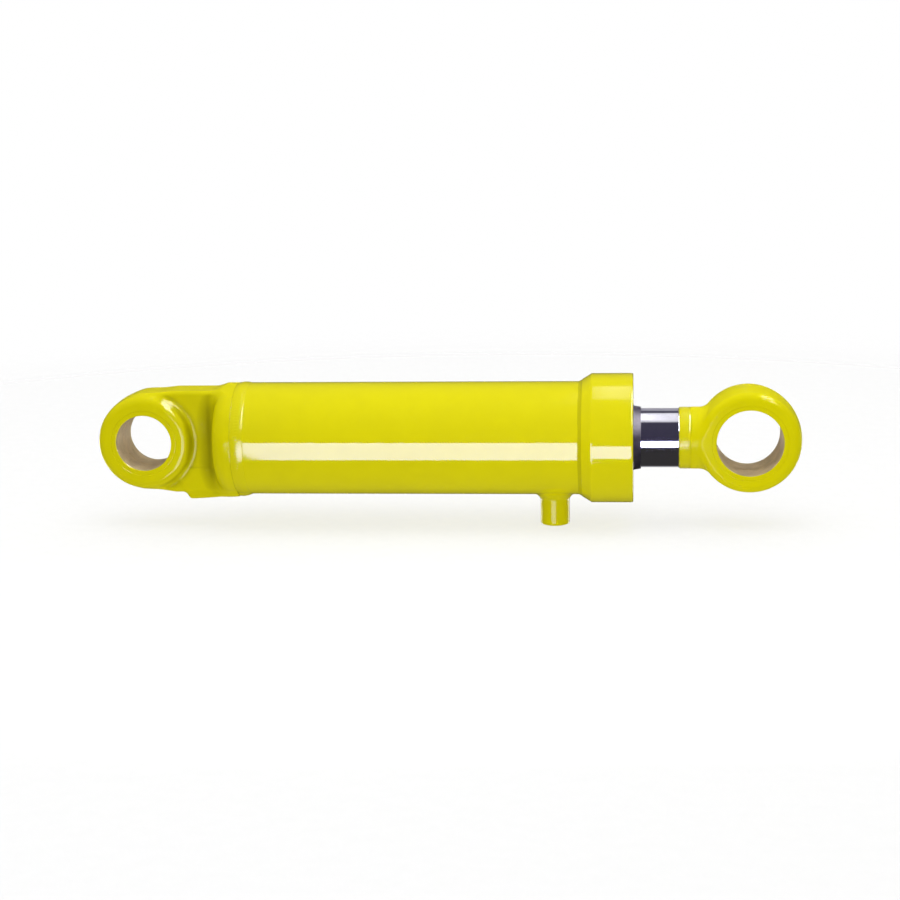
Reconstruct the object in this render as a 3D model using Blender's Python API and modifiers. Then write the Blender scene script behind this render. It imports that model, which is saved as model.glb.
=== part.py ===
"""Hydraulic cylinder: 100 mm bore, 63 mm rod, 240 mm stroke, a plain pin eye at each end.

Units are metres. The cylinder lies along X, from the rear eye to the rod eye. Its two pins lie along
Y and its two ports open towards -Z. Stations are distances along X from the rear pin's centre. Every
piece hangs on an empty that moves those stations so that the world origin is the closed cylinder's
balance point, on its axis. Pieces that touch on the real cylinder keep GAP between them here.
"""

import math

import bmesh
import bpy

# ---- driving dimensions -------------------------------------------------------------------
BALANCE_STATION = 0.316           # the closed cylinder's balance point
GAP = 0.0003
CLOSED_LENGTH = 0.6475            # from pin centre to pin centre

BORE_RADIUS = 0.050
TUBE_RADIUS = 0.0605
ROD_RADIUS = 0.0315
COLLAR_RADIUS = 0.069

REAR_EYE_RADIUS = 0.052
REAR_EYE_HALF_WIDTH = 0.032
REAR_PIN_RADIUS = 0.030
REAR_BUSH_RADIUS = 0.035
ROD_EYE_RADIUS = 0.0555
ROD_EYE_HALF_WIDTH = 0.035
ROD_PIN_RADIUS = 0.035
ROD_BUSH_RADIUS = 0.0395
BUSH_RECESS = 0.0006              # how far a bush ends short of the eye's side face

NECK_HALF_WIDTH = 0.022
NECK_TOP = 0.0535
NECK_BOTTOM = -0.0545
PAD_FACE = -0.0640                # the rear port pad's flat face
CAP_FACE = 0.0785                 # station of the end-cap disc's rear face
CAP_CORNER = 0.015
REAR_WELD_STATION = 0.107
REAR_WELD_HALF_WIDTH = 0.0065
REAR_WELD_ROOT_GAP = 0.001        # half the gap between cap and tube under the bead
REAR_WELD_ROOT_RADIUS = 0.0525
CHAMBER_REAR = 0.1175

COLLAR_REAR = 0.4715
COLLAR_CHAMFER_END = 0.4805
COLLAR_FRONT = 0.5255
COLLAR_WELD_REAR = 0.4652
COLLAR_WELD_RADIUS = 0.0655
TUBE_END = 0.5015                 # the tube ends inside the collar
LOCK_SCREW_STATION = 0.5195

GLAND_REAR = 0.4505
GLAND_NOSE_RADIUS = 0.043         # the relief that lets oil reach the front port
GLAND_NOSE_LENGTH = 0.007
GLAND_FLANGE = 0.5135
GLAND_FLANGE_RADIUS = 0.056
SPANNER_HOLE_RADIUS = 0.003
SPANNER_CIRCLE_RADIUS = 0.046
WIPER_RADIUS = 0.036
WIPER_FRONT = 0.5335

# Square grooves, each as (start station, end station, floor radius).
GLAND_O_RING_GROOVE = (0.479, 0.486, 0.0455)
REAR_GUIDE_GROOVE = (0.4555, 0.4655, 0.0345)
BUFFER_GROOVE = (0.4715, 0.4775, 0.0375)
ROD_SEAL_GROOVE = (0.4835, 0.4925, 0.0385)
FRONT_GUIDE_GROOVE = (0.4975, 0.5075, 0.0345)
PISTON_REAR_GUIDE_GROOVE = (0.1535, 0.1625, 0.0468)
PISTON_SEAL_GROOVE = (0.1675, 0.1785, 0.0430)
PISTON_FRONT_GUIDE_GROOVE = (0.1835, 0.1925, 0.0468)
PISTON_O_RING_GROOVE = (0.1735, 0.1785, 0.0255)
PISTON_SEAL_INNER_RADIUS = 0.0462

PISTON_REAR = 0.1475
PISTON_FRONT = 0.2055
PISTON_LAND_RADIUS = 0.0492
SPIGOT_RADIUS = 0.022
THREAD_RADIUS = 0.020
NUT_ACROSS_FLATS = 0.065
NUT_REAR = 0.125
ROD_REAR = 0.1225
SHANK_RADIUS = 0.033
SHANK_REAR = 0.580
ROD_WELD_DEPTH = 0.006

PORT_RADIUS = 0.010
PORT_DEPTH = 0.020
PORT_CHAMFER = 0.001
PASSAGE_RADIUS = 0.006
REAR_PORT_STATION = 0.066
FRONT_PORT_STATION = 0.4415
FRONT_PORT_FACE = -0.094
FRONT_BOSS_RADIUS = 0.0155
PLUG_RECESS = 0.0035
PLUG_LENGTH = 0.009
SET_SCREW_RADIUS = 0.0037

ROUND_FACETS = 32                 # pieces round the cylinder's axis
EYE_FACETS = 40
SMALL_FACETS = 24
SCREW_FACETS = 12
SHARP_ANGLE = math.radians(35)

# An object's own Z axis turned to lie along X, Y or Z.
TURN_TO = {
    "X": (0.0, math.pi / 2, 0.0),
    "Y": (-math.pi / 2, 0.0, 0.0),
    "Z": (0.0, 0.0, 0.0),
}

PAINT = ("yellow_paint", (0.72, 0.66, 0.02), 0.28, 0.0)
CHROME = ("hard_chrome", (0.75, 0.76, 0.78), 0.08, 1.0)
BUSH_STEEL = ("bush_steel", (0.42, 0.36, 0.27), 0.45, 0.9)
STEEL = ("machined_steel", (0.45, 0.46, 0.48), 0.35, 1.0)
IRON = ("gland_iron", (0.16, 0.16, 0.17), 0.5, 0.8)
RUBBER = ("black_rubber", (0.015, 0.015, 0.017), 0.6, 0.0)
SLIDE_RING = ("filled_ptfe", (0.10, 0.16, 0.13), 0.5, 0.0)
GUIDE_RING = ("phenolic_guide", (0.35, 0.20, 0.08), 0.55, 0.0)
BLUE_SEAL = ("polyurethane", (0.03, 0.10, 0.32), 0.4, 0.0)
PLUG_PLASTIC = ("olive_plastic", (0.36, 0.35, 0.05), 0.5, 0.0)


# ---- scene and object helpers -------------------------------------------------------------
def clear_scene():
    for thing in list(bpy.data.objects):
        bpy.data.objects.remove(thing, do_unlink=True)


def new_collection(name):
    collection = bpy.data.collections.new(name)
    bpy.context.scene.collection.children.link(collection)
    return collection


def new_empty(name, parent=None, station=0.0):
    empty = bpy.data.objects.new(name, None)
    empty.empty_display_size = 0.03
    empty.location.x = station
    empty.parent = parent
    PARTS.objects.link(empty)
    return empty


def finish_material(finish):
    """The material called finish[0], made the first time it is asked for."""
    name, colour, roughness, metallic = finish
    found = bpy.data.materials.get(name)
    if found:
        return found
    made = bpy.data.materials.new(name)
    made.use_nodes = True
    shader = made.node_tree.nodes["Principled BSDF"]
    shader.inputs["Base Color"].default_value = (*colour, 1.0)
    shader.inputs["Roughness"].default_value = roughness
    shader.inputs["Metallic"].default_value = metallic
    made.diffuse_color = (*colour, 1.0)
    return made


def place(thing, parent, location, axis="Z"):
    thing.parent = parent
    thing.location = location
    thing.rotation_euler = TURN_TO[axis]


def as_cutter(thing):
    """Moves a helper shape to the cutters, where it shows as wire and isn't rendered."""
    for collection in list(thing.users_collection):
        collection.objects.unlink(thing)
    CUTTERS.objects.link(thing)
    thing.hide_render = True
    thing.display_type = "WIRE"
    return thing


def combine(thing, other, operation):
    modifier = thing.modifiers.new(f"{operation.lower()}_{other.name}"[:60], "BOOLEAN")
    modifier.operation = operation
    modifier.object = other
    modifier.solver = "EXACT"


def cut(thing, *cutters):
    for cutter in cutters:
        combine(thing, cutter, "DIFFERENCE")


def join(thing, *others):
    for other in others:
        combine(thing, other, "UNION")


def settle(thing, finish):
    """Applies a piece's modifiers, gives it its one material and shades its round faces smooth."""
    bpy.context.view_layer.update()
    graph = bpy.context.evaluated_depsgraph_get()
    mesh = bpy.data.meshes.new_from_object(thing.evaluated_get(graph))
    mesh.name = thing.name
    thing.modifiers.clear()
    old = thing.data
    thing.data = mesh
    bpy.data.meshes.remove(old)
    mesh.materials.clear()
    mesh.materials.append(finish_material(finish))
    mesh.shade_smooth()
    mesh.set_sharp_from_angle(angle=SHARP_ANGLE)
    return thing


# ---- shape helpers ------------------------------------------------------------------------
def signed_area(loop):
    total = 0.0
    for (station, radius), (next_station, next_radius) in zip(loop, loop[1:] + loop[:1]):
        total += radius * next_station - next_radius * station
    return total / 2


def turned(name, profile, parent, origin=(0.0, 0.0, 0.0), axis="X", facets=ROUND_FACETS):
    """A turned shape about an axis through origin. profile is a list of (distance, radius) points.

    The distances run along the axis from the parent's origin. A profile that starts and ends on
    the axis makes a solid, and any other closes on itself and makes a ring.
    """
    along = origin["XYZ".index(axis)]
    profile = [(distance - along, radius) for distance, radius in profile]
    solid = profile[0][1] == 0.0
    if signed_area(profile) > 0.0:
        profile.reverse()
    points = [(radius, 0.0, distance) for distance, radius in profile]
    edges = [(i, i + 1) for i in range(len(points) - 1)]
    if not solid:
        edges.append((len(points) - 1, 0))
    mesh = bpy.data.meshes.new(name)
    mesh.from_pydata(points, edges, [])
    thing = bpy.data.objects.new(name, mesh)
    PARTS.objects.link(thing)
    place(thing, parent, origin, axis)
    screw = thing.modifiers.new("turn", "SCREW")
    screw.axis = "Z"
    screw.steps = facets
    screw.render_steps = facets
    screw.use_merge_vertices = True
    screw.merge_threshold = 0.00001
    return thing


def rod_cutter(name, radius, start, end, parent, origin=(0.0, 0.0, 0.0), axis="X", facets=ROUND_FACETS):
    """A round cutter about an axis through origin, from start to end along it."""
    profile = [(start, 0.0), (start, radius), (end, radius), (end, 0.0)]
    return as_cutter(turned(name, profile, parent, origin, axis, facets))


def prism(name, outline, half_thickness, parent, axis):
    """A flat outline in the plane across axis (X and Z points for Y, X and Y points for Z)."""
    curve = bpy.data.curves.new(name, "CURVE")
    curve.dimensions = "2D"
    curve.fill_mode = "BOTH"
    curve.extrude = half_thickness
    spline = curve.splines.new("POLY")
    spline.points.add(len(outline) - 1)
    spline.use_cyclic_u = True
    for point, (x, across) in zip(spline.points, outline):
        point.co = (x, across, 0.0, 1.0)
    drawn = bpy.data.objects.new(name + "_outline", curve)
    CUTTERS.objects.link(drawn)
    drawn.parent = parent
    if axis == "Y":
        drawn.rotation_euler = (math.pi / 2, 0.0, 0.0)
    bpy.context.view_layer.update()
    graph = bpy.context.evaluated_depsgraph_get()
    mesh = bpy.data.meshes.new_from_object(drawn.evaluated_get(graph))
    welded = bmesh.new()
    welded.from_mesh(mesh)
    bmesh.ops.remove_doubles(welded, verts=welded.verts, dist=0.00001)
    bmesh.ops.recalc_face_normals(welded, faces=welded.faces)
    welded.to_mesh(mesh)
    welded.free()
    thing = bpy.data.objects.new(name, mesh)
    thing.parent = parent
    thing.rotation_euler = drawn.rotation_euler
    bpy.data.objects.remove(drawn, do_unlink=True)
    bpy.data.curves.remove(curve)
    return as_cutter(thing)


def arc(centre, radius, start_degrees, end_degrees, steps):
    """Points of an arc in a plane, the angles counted from the first axis towards the second."""
    points = []
    for step in range(steps + 1):
        angle = math.radians(start_degrees + (end_degrees - start_degrees) * step / steps)
        points.append((centre[0] + radius * math.cos(angle), centre[1] + radius * math.sin(angle)))
    return points


def ring(name, start, end, inner, outer, parent, facets=ROUND_FACETS):
    """A plain square-edged ring about the cylinder's axis."""
    profile = [(start, inner), (start, outer), (end, outer), (end, inner)]
    return turned(name, profile, parent, (start, 0.0, 0.0), "X", facets)


def o_ring(name, middle, middle_radius, thickness_radius, parent):
    """A ring of hexagonal section, which stands for a round cord."""
    corners = arc((middle, middle_radius), thickness_radius, 0, 300, 5)
    return turned(name, corners, parent, (middle, 0.0, 0.0))


def eye_profile(outer, bore, half_width, crown, shoulder, chamfer):
    """A pin eye's section: a crowned rim, round shoulders, flat side faces and a chamfered bore."""
    rim_steps = 2
    shoulder_steps = 3
    rim_end = half_width - shoulder
    half = []
    for step in range(1, rim_steps + 1):
        across = rim_end * step / rim_steps
        half.append((across, outer - crown * (across / half_width) ** 2))
    shoulder_centre = (rim_end, half[-1][1] - shoulder)
    half += arc(shoulder_centre, shoulder, 90, 0, shoulder_steps)[1:]
    half.append((half_width, bore + chamfer))
    half.append((half_width - chamfer, bore))
    mirrored = [(-across, radius) for across, radius in reversed(half)]
    return mirrored + [(0.0, outer)] + half


def bush_profile(inner, outer, half_length):
    """A plain bush's section, with a small lead chamfer inside each end."""
    lead = 0.001
    return [
        (-half_length, inner + lead),
        (-half_length, outer),
        (half_length, outer),
        (half_length, inner + lead),
        (half_length - lead, inner),
        (-half_length + lead, inner),
    ]


# ---- rear cap and rear eye ----------------------------------------------------------------
def neck_shape(parent):
    """The block between the eye and the disc, seen from the side, with the port pad under it."""
    pad_start = 0.0495
    pad_step = 0.0415
    pad_end = 0.0845
    inside_disc = 0.0965
    pad_runout = -TUBE_RADIUS - 0.0022
    eye_skin = REAR_EYE_RADIUS - GAP
    rise_end = 0.030
    side = [
        (0.0, eye_skin),
        (rise_end, NECK_TOP),
        (inside_disc, NECK_TOP),
        (inside_disc, pad_runout),
        (pad_end, PAD_FACE),
        (pad_start, PAD_FACE),
        (pad_step, NECK_BOTTOM - 0.001),
        (0.0, -eye_skin),
    ]
    block = prism("neck", side, NECK_HALF_WIDTH, parent, "Y")
    edges = block.modifiers.new("cast_edges", "BEVEL")
    edges.width = 0.004
    edges.segments = 2
    edges.limit_method = "ANGLE"
    edges.angle_limit = math.radians(50)
    return block


def neck_flare(parent):
    """The concave run on each side of the neck, seen from above, where it widens into the disc."""
    fillet = 0.010
    half_height = 0.034
    inside_disc = 0.0875
    under_skin = 0.001
    centre = (CAP_FACE - fillet, NECK_HALF_WIDTH + fillet - under_skin)
    upper = arc(centre, fillet, -90, -20, 3)
    upper.append((inside_disc, NECK_HALF_WIDTH + fillet))
    plan = upper + [(x, -y) for x, y in reversed(upper)]
    return prism("neck_flare", plan, half_height, parent, "Z")


def disc_shape(parent):
    """The end-cap disc with its round corner, the weld groove and the spigot inside the tube."""
    groove_top = REAR_WELD_STATION - REAR_WELD_HALF_WIDTH
    root = REAR_WELD_STATION - REAR_WELD_ROOT_GAP
    edge = 0.002
    profile = [(CAP_FACE, 0.0)]
    profile += arc((CAP_FACE + CAP_CORNER, TUBE_RADIUS - CAP_CORNER), CAP_CORNER, 180, 90, 4)
    profile += [
        (groove_top, TUBE_RADIUS),
        (root, REAR_WELD_ROOT_RADIUS),
        (root, BORE_RADIUS - GAP),
        (CHAMBER_REAR - edge, BORE_RADIUS - GAP),
        (CHAMBER_REAR, BORE_RADIUS - GAP - edge),
        (CHAMBER_REAR, 0.0),
    ]
    return as_cutter(turned("cap_disc", profile, parent, (CAP_FACE, 0.0, 0.0)))


def build_rear_cap(body):
    seat = REAR_BUSH_RADIUS + GAP
    profile = eye_profile(REAR_EYE_RADIUS, seat, REAR_EYE_HALF_WIDTH, 0.0022, 0.008, 0.0008)
    cap = turned("rear_cap", profile, body, (0.0, 0.0, 0.0), "Y", EYE_FACETS)
    join(cap, disc_shape(body), neck_shape(body), neck_flare(body))
    port = (REAR_PORT_STATION, 0.0, 0.0)
    floor = PAD_FACE + PORT_DEPTH
    mouth_profile = [
        (PAD_FACE - PORT_CHAMFER, 0.0),
        (PAD_FACE - PORT_CHAMFER, PORT_RADIUS + 2 * PORT_CHAMFER),
        (PAD_FACE + PORT_CHAMFER, PORT_RADIUS),
        (floor, PORT_RADIUS),
        (floor + 0.003, PASSAGE_RADIUS),
        (PASSAGE_RADIUS, PASSAGE_RADIUS),
        (PASSAGE_RADIUS, 0.0),
    ]
    bore = rod_cutter(
        "rear_pin_bore",
        seat,
        -TUBE_RADIUS,
        TUBE_RADIUS,
        body,
        (0.0, 0.0, 0.0),
        "Y",
        EYE_FACETS,
    )
    passage = rod_cutter(
        "rear_passage",
        PASSAGE_RADIUS * 0.9,
        REAR_PORT_STATION - 0.002,
        CHAMBER_REAR + 0.002,
        body,
        port,
        "X",
        SCREW_FACETS,
    )
    mouth = turned("rear_port_bore", mouth_profile, body, port, "Z", SMALL_FACETS)
    cut(cap, bore, as_cutter(mouth), passage)
    settle(cap, PAINT)

    bush_half = REAR_EYE_HALF_WIDTH - BUSH_RECESS
    profile = bush_profile(REAR_PIN_RADIUS, REAR_BUSH_RADIUS, bush_half)
    bush = turned("rear_eye_bush", profile, body, (0.0, 0.0, 0.0), "Y", EYE_FACETS)
    settle(bush, BUSH_STEEL)


def build_port_plug(name, station, face, body):
    """A shipping plug: a plain recessed disc with a shallow dished front."""
    front = face + PLUG_RECESS
    back = front + PLUG_LENGTH
    radius = PORT_RADIUS - GAP
    profile = [
        (front + 0.0012, 0.0),
        (front, radius * 0.72),
        (front, radius - 0.0006),
        (front + 0.0006, radius),
        (back, radius),
        (back, 0.0),
    ]
    plug = turned(name, profile, body, (station, 0.0, front), "Z", SMALL_FACETS)
    settle(plug, PLUG_PLASTIC)


# ---- barrel -------------------------------------------------------------------------------
def build_tube(body):
    groove_top = REAR_WELD_STATION + REAR_WELD_HALF_WIDTH
    groove_root = REAR_WELD_STATION + REAR_WELD_ROOT_GAP
    profile = [
        (groove_root, BORE_RADIUS),
        (groove_root, REAR_WELD_ROOT_RADIUS),
        (groove_top, TUBE_RADIUS),
        (TUBE_END, TUBE_RADIUS),
        (TUBE_END, BORE_RADIUS),
    ]
    tube = turned("barrel_tube", profile, body, (REAR_WELD_STATION, 0.0, 0.0))
    port = (FRONT_PORT_STATION, 0.0, 0.0)
    hole = rod_cutter(
        "front_passage",
        PASSAGE_RADIUS,
        -TUBE_RADIUS - 0.005,
        -BORE_RADIUS + 0.005,
        body,
        port,
        "Z",
        SCREW_FACETS,
    )
    cut(tube, hole)
    settle(tube, PAINT)
    build_rear_weld(body)


def build_rear_weld(body):
    """The bead fills the groove between the cap and the tube and stands a little proud."""
    middle = REAR_WELD_STATION
    rise = 0.001
    crown_half = REAR_WELD_HALF_WIDTH / 2
    toe_half = REAR_WELD_HALF_WIDTH - 0.0005
    root_half = REAR_WELD_ROOT_GAP / 2
    root_radius = REAR_WELD_ROOT_RADIUS + 0.0008
    bead = [
        (middle - root_half, root_radius),
        (middle - toe_half, TUBE_RADIUS + GAP),
        (middle - crown_half, TUBE_RADIUS + rise),
        (middle + crown_half, TUBE_RADIUS + rise),
        (middle + toe_half, TUBE_RADIUS + GAP),
        (middle + root_half, root_radius),
    ]
    settle(turned("rear_weld", bead, body, (middle, 0.0, 0.0)), PAINT)


def build_collar(body):
    socket = TUBE_RADIUS + GAP
    edge = 0.0015
    profile = [
        (COLLAR_REAR, socket),
        (COLLAR_REAR, COLLAR_WELD_RADIUS),
        (COLLAR_CHAMFER_END, COLLAR_RADIUS),
        (COLLAR_FRONT - edge, COLLAR_RADIUS),
        (COLLAR_FRONT, COLLAR_RADIUS - edge),
        (COLLAR_FRONT, GLAND_FLANGE_RADIUS + GAP),
        (GLAND_FLANGE, GLAND_FLANGE_RADIUS + GAP),
        (GLAND_FLANGE, BORE_RADIUS),
        (TUBE_END + GAP, BORE_RADIUS),
        (TUBE_END + GAP, socket),
    ]
    collar = turned("head_collar", profile, body, (COLLAR_REAR, 0.0, 0.0))
    screw_at = (LOCK_SCREW_STATION, 0.0, 0.0)
    hole = rod_cutter(
        "lock_screw_hole",
        SET_SCREW_RADIUS + GAP,
        BORE_RADIUS,
        COLLAR_RADIUS + 0.005,
        body,
        screw_at,
        "Y",
        SCREW_FACETS,
    )
    cut(collar, hole)
    settle(collar, PAINT)

    weld_front = COLLAR_REAR - GAP
    fillet = [
        (COLLAR_WELD_REAR, socket),
        (COLLAR_WELD_REAR, socket + GAP),
        ((COLLAR_WELD_REAR + weld_front) / 2, socket + 0.0015),
        (weld_front, COLLAR_WELD_RADIUS),
        (weld_front, socket),
    ]
    settle(turned("collar_weld", fillet, body, (COLLAR_REAR, 0.0, 0.0)), PAINT)
    inner_end = GLAND_FLANGE_RADIUS + GAP
    outer_end = COLLAR_RADIUS - 0.0025
    build_set_screw("gland_lock_screw", screw_at, inner_end, outer_end, body)


def build_set_screw(name, at, inner_end, outer_end, body):
    """A set screw along +Y with a hexagon socket in its outer end."""
    edge = 0.0006
    profile = [
        (inner_end, 0.0),
        (inner_end, SET_SCREW_RADIUS - edge),
        (inner_end + edge, SET_SCREW_RADIUS),
        (outer_end - edge, SET_SCREW_RADIUS),
        (outer_end, SET_SCREW_RADIUS - edge),
        (outer_end, 0.0),
    ]
    screw = turned(name, profile, body, at, "Y", SCREW_FACETS)
    socket = rod_cutter(
        f"{name}_socket",
        SET_SCREW_RADIUS * 0.6,
        outer_end - 0.003,
        outer_end + 0.002,
        body,
        at,
        "Y",
        6,
    )
    cut(screw, socket)
    settle(screw, STEEL)


def build_front_port(body):
    port = (FRONT_PORT_STATION, 0.0, 0.0)
    inside = -0.045
    corner = 0.002
    floor = FRONT_PORT_FACE + PORT_DEPTH
    profile = [
        (FRONT_PORT_FACE, PORT_RADIUS + PORT_CHAMFER),
        (FRONT_PORT_FACE, FRONT_BOSS_RADIUS - corner),
        (FRONT_PORT_FACE + corner, FRONT_BOSS_RADIUS),
        (inside, FRONT_BOSS_RADIUS),
        (inside, PASSAGE_RADIUS),
        (floor + 0.003, PASSAGE_RADIUS),
        (floor, PORT_RADIUS),
        (FRONT_PORT_FACE + PORT_CHAMFER, PORT_RADIUS),
    ]
    boss = turned("front_port_boss", profile, body, port, "Z", SMALL_FACETS)
    saddle_half = 2 * TUBE_RADIUS
    saddle = rod_cutter(
        "tube_outside",
        TUBE_RADIUS + GAP,
        FRONT_PORT_STATION - saddle_half,
        FRONT_PORT_STATION + saddle_half,
        body,
    )
    cut(boss, saddle)
    settle(boss, PAINT)

    inner = FRONT_BOSS_RADIUS + GAP
    throat = 0.0085
    flare_start = -TUBE_RADIUS - throat
    flare = arc((flare_start, inner + throat), throat, -90, -10, 4)
    flare += [(inside, inner + throat), (inside, inner)]
    weld = turned("front_port_weld", flare, body, port, "Z", SMALL_FACETS)
    cut(weld, saddle)
    settle(weld, PAINT)


# ---- gland and rod seals ------------------------------------------------------------------
def groove_points(groove, wall_radius, reverse=False):
    """The four points that a square groove adds to a profile, in the order the profile runs."""
    start, end, floor = groove
    points = [(start, wall_radius), (start, floor), (end, floor), (end, wall_radius)]
    return points[::-1] if reverse else points


def guide_ring(name, groove, inner, outer, body):
    """A guide ring with running clearance in its groove."""
    start, end, _ = groove
    settle(ring(name, start + GAP, end - GAP, inner, outer, body), GUIDE_RING)


def build_gland(body):
    outer = BORE_RADIUS - GAP
    bore = ROD_RADIUS + 0.0005
    flange_rear = GLAND_FLANGE + GAP
    flange_front = COLLAR_FRONT - GAP
    wiper_seat = WIPER_RADIUS + GAP
    outside = [
        (GLAND_REAR, GLAND_NOSE_RADIUS),
        (GLAND_REAR + GLAND_NOSE_LENGTH, GLAND_NOSE_RADIUS),
        (GLAND_REAR + GLAND_NOSE_LENGTH, outer),
    ]
    outside += groove_points(GLAND_O_RING_GROOVE, outer)
    outside += [
        (flange_rear, outer),
        (flange_rear, GLAND_FLANGE_RADIUS),
        (flange_front, GLAND_FLANGE_RADIUS),
    ]
    inside = [(flange_front, wiper_seat), (flange_rear, wiper_seat), (flange_rear, bore)]
    for groove in (FRONT_GUIDE_GROOVE, ROD_SEAL_GROOVE, BUFFER_GROOVE, REAR_GUIDE_GROOVE):
        inside += groove_points(groove, bore, reverse=True)
    inside.append((GLAND_REAR, bore))
    gland = turned("gland", outside + inside, body, (GLAND_REAR, 0.0, 0.0))
    circle = arc((0.0, 0.0), SPANNER_CIRCLE_RADIUS, 45, 315, 3)
    for number, (y, z) in enumerate(circle, start=1):
        hole = rod_cutter(
            f"spanner_hole_{number}",
            SPANNER_HOLE_RADIUS,
            GLAND_FLANGE + 0.005,
            COLLAR_FRONT + 0.003,
            body,
            (COLLAR_FRONT, y, z),
            "X",
            8,
        )
        cut(gland, hole)
    settle(gland, IRON)
    build_gland_seals(body)
    build_wiper(body)


def build_gland_seals(body):
    start, end, floor = GLAND_O_RING_GROOVE
    cord = 0.0018
    split = start + 2 * cord + 2 * GAP
    o_ring_radius = floor + cord + GAP
    settle(o_ring("gland_o_ring", start + cord + GAP, o_ring_radius, cord, body), RUBBER)
    backup = ring("gland_backup_ring", split + GAP, end - GAP, floor + GAP, BORE_RADIUS - 2 * GAP, body)
    settle(backup, SLIDE_RING)

    inner = ROD_RADIUS + GAP
    guide_outer = REAR_GUIDE_GROOVE[2] - GAP
    guide_ring("rod_wear_ring_rear", REAR_GUIDE_GROOVE, inner, guide_outer, body)
    guide_ring("rod_wear_ring_front", FRONT_GUIDE_GROOVE, inner, guide_outer, body)
    build_lip_seal("rod_buffer_seal", BUFFER_GROOVE, SLIDE_RING, body)
    build_lip_seal("rod_seal", ROD_SEAL_GROOVE, BLUE_SEAL, body)


def build_lip_seal(name, groove, finish, body):
    """A U-shaped lip seal whose lips face the oil, towards the rear."""
    start, end, floor = groove[0] + GAP, groove[1] - GAP, groove[2]
    inner, outer = ROD_RADIUS + GAP, floor - GAP
    thickness = outer - inner
    slot_end = start + (end - start) * 0.55
    profile = [
        (start, inner),
        (start, inner + thickness * 0.3),
        (slot_end, inner + thickness * 0.5),
        (start, inner + thickness * 0.7),
        (start, outer),
        (end, outer),
        (end, inner),
    ]
    settle(turned(name, profile, body, (start, 0.0, 0.0)), finish)


def build_wiper(body):
    """The wiper sits in the gland's face and stands out of it as a dark nose round the rod."""
    rear = GLAND_FLANGE + 2 * GAP
    lip = ROD_RADIUS + GAP
    edge = 0.0015
    profile = [
        (rear, WIPER_RADIUS - edge),
        (rear, WIPER_RADIUS),
        (WIPER_FRONT - edge, WIPER_RADIUS),
        (WIPER_FRONT, WIPER_RADIUS - edge),
        (WIPER_FRONT, lip),
        (WIPER_FRONT - 2 * edge, lip),
        (WIPER_FRONT - 4 * edge, lip + edge),
    ]
    settle(turned("rod_wiper", profile, body, (rear, 0.0, 0.0)), RUBBER)


# ---- piston, rod and rod eye --------------------------------------------------------------
def build_piston(rings_body, rod_body):
    bore = SPIGOT_RADIUS + GAP
    front = PISTON_FRONT - GAP
    front_chamfer = 0.008
    outside = [(PISTON_REAR, PISTON_LAND_RADIUS)]
    for groove in (PISTON_REAR_GUIDE_GROOVE, PISTON_SEAL_GROOVE, PISTON_FRONT_GUIDE_GROOVE):
        outside += groove_points(groove, PISTON_LAND_RADIUS)
    outside += [
        (front - front_chamfer, PISTON_LAND_RADIUS),
        (front, PISTON_LAND_RADIUS - front_chamfer / 2),
    ]
    inside = [(front, bore)]
    inside += groove_points(PISTON_O_RING_GROOVE, bore, reverse=True)
    inside.append((PISTON_REAR, bore))
    piston = turned("piston", outside + inside, rod_body, (PISTON_REAR, 0.0, 0.0))
    settle(piston, STEEL)

    outer = BORE_RADIUS - GAP
    guide_inner = PISTON_REAR_GUIDE_GROOVE[2] + GAP
    guide_ring("piston_wear_ring_rear", PISTON_REAR_GUIDE_GROOVE, guide_inner, outer, rings_body)
    guide_ring("piston_wear_ring_front", PISTON_FRONT_GUIDE_GROOVE, guide_inner, outer, rings_body)

    start, end, floor = PISTON_SEAL_GROOVE
    seal = ring("piston_seal", start + GAP, end - GAP, PISTON_SEAL_INNER_RADIUS, outer, rings_body)
    settle(seal, SLIDE_RING)
    inset = 0.001
    energizer = ring(
        "piston_seal_energizer",
        start + inset,
        end - inset,
        floor + GAP,
        PISTON_SEAL_INNER_RADIUS - GAP,
        rod_body,
    )
    settle(energizer, RUBBER)

    start, end, floor = PISTON_O_RING_GROOVE
    cord = 0.0015
    seal = o_ring("piston_o_ring", (start + end) / 2, floor - cord - GAP, cord, rod_body)
    settle(seal, RUBBER)


def build_rod(body):
    weld_root = ROD_RADIUS - ROD_WELD_DEPTH
    thread_lead = 0.002
    edge = 0.001
    groove_rear = SHANK_REAR - ROD_WELD_DEPTH - 2 * GAP
    profile = [
        (ROD_REAR, 0.0),
        (ROD_REAR, THREAD_RADIUS - thread_lead),
        (ROD_REAR + thread_lead, THREAD_RADIUS),
        (PISTON_REAR, THREAD_RADIUS),
        (PISTON_REAR, SPIGOT_RADIUS),
        (PISTON_FRONT, SPIGOT_RADIUS),
        (PISTON_FRONT, ROD_RADIUS - edge),
        (PISTON_FRONT + edge, ROD_RADIUS),
        (groove_rear, ROD_RADIUS),
        (SHANK_REAR - GAP, weld_root),
        (SHANK_REAR - GAP, 0.0),
    ]
    settle(turned("piston_rod", profile, body, (PISTON_FRONT, 0.0, 0.0)), CHROME)

    bead_root = weld_root + 2 * GAP
    bead = [
        (groove_rear + GAP, ROD_RADIUS + GAP),
        (groove_rear + 3 * GAP, SHANK_RADIUS - GAP),
        (groove_rear + 10 * GAP, SHANK_RADIUS),
        (SHANK_REAR + ROD_WELD_DEPTH - 4 * GAP, SHANK_RADIUS),
        (SHANK_REAR, bead_root),
        (SHANK_REAR - GAP, bead_root),
    ]
    settle(turned("rod_eye_weld", bead, body, (SHANK_REAR, 0.0, 0.0)), PAINT)


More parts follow.
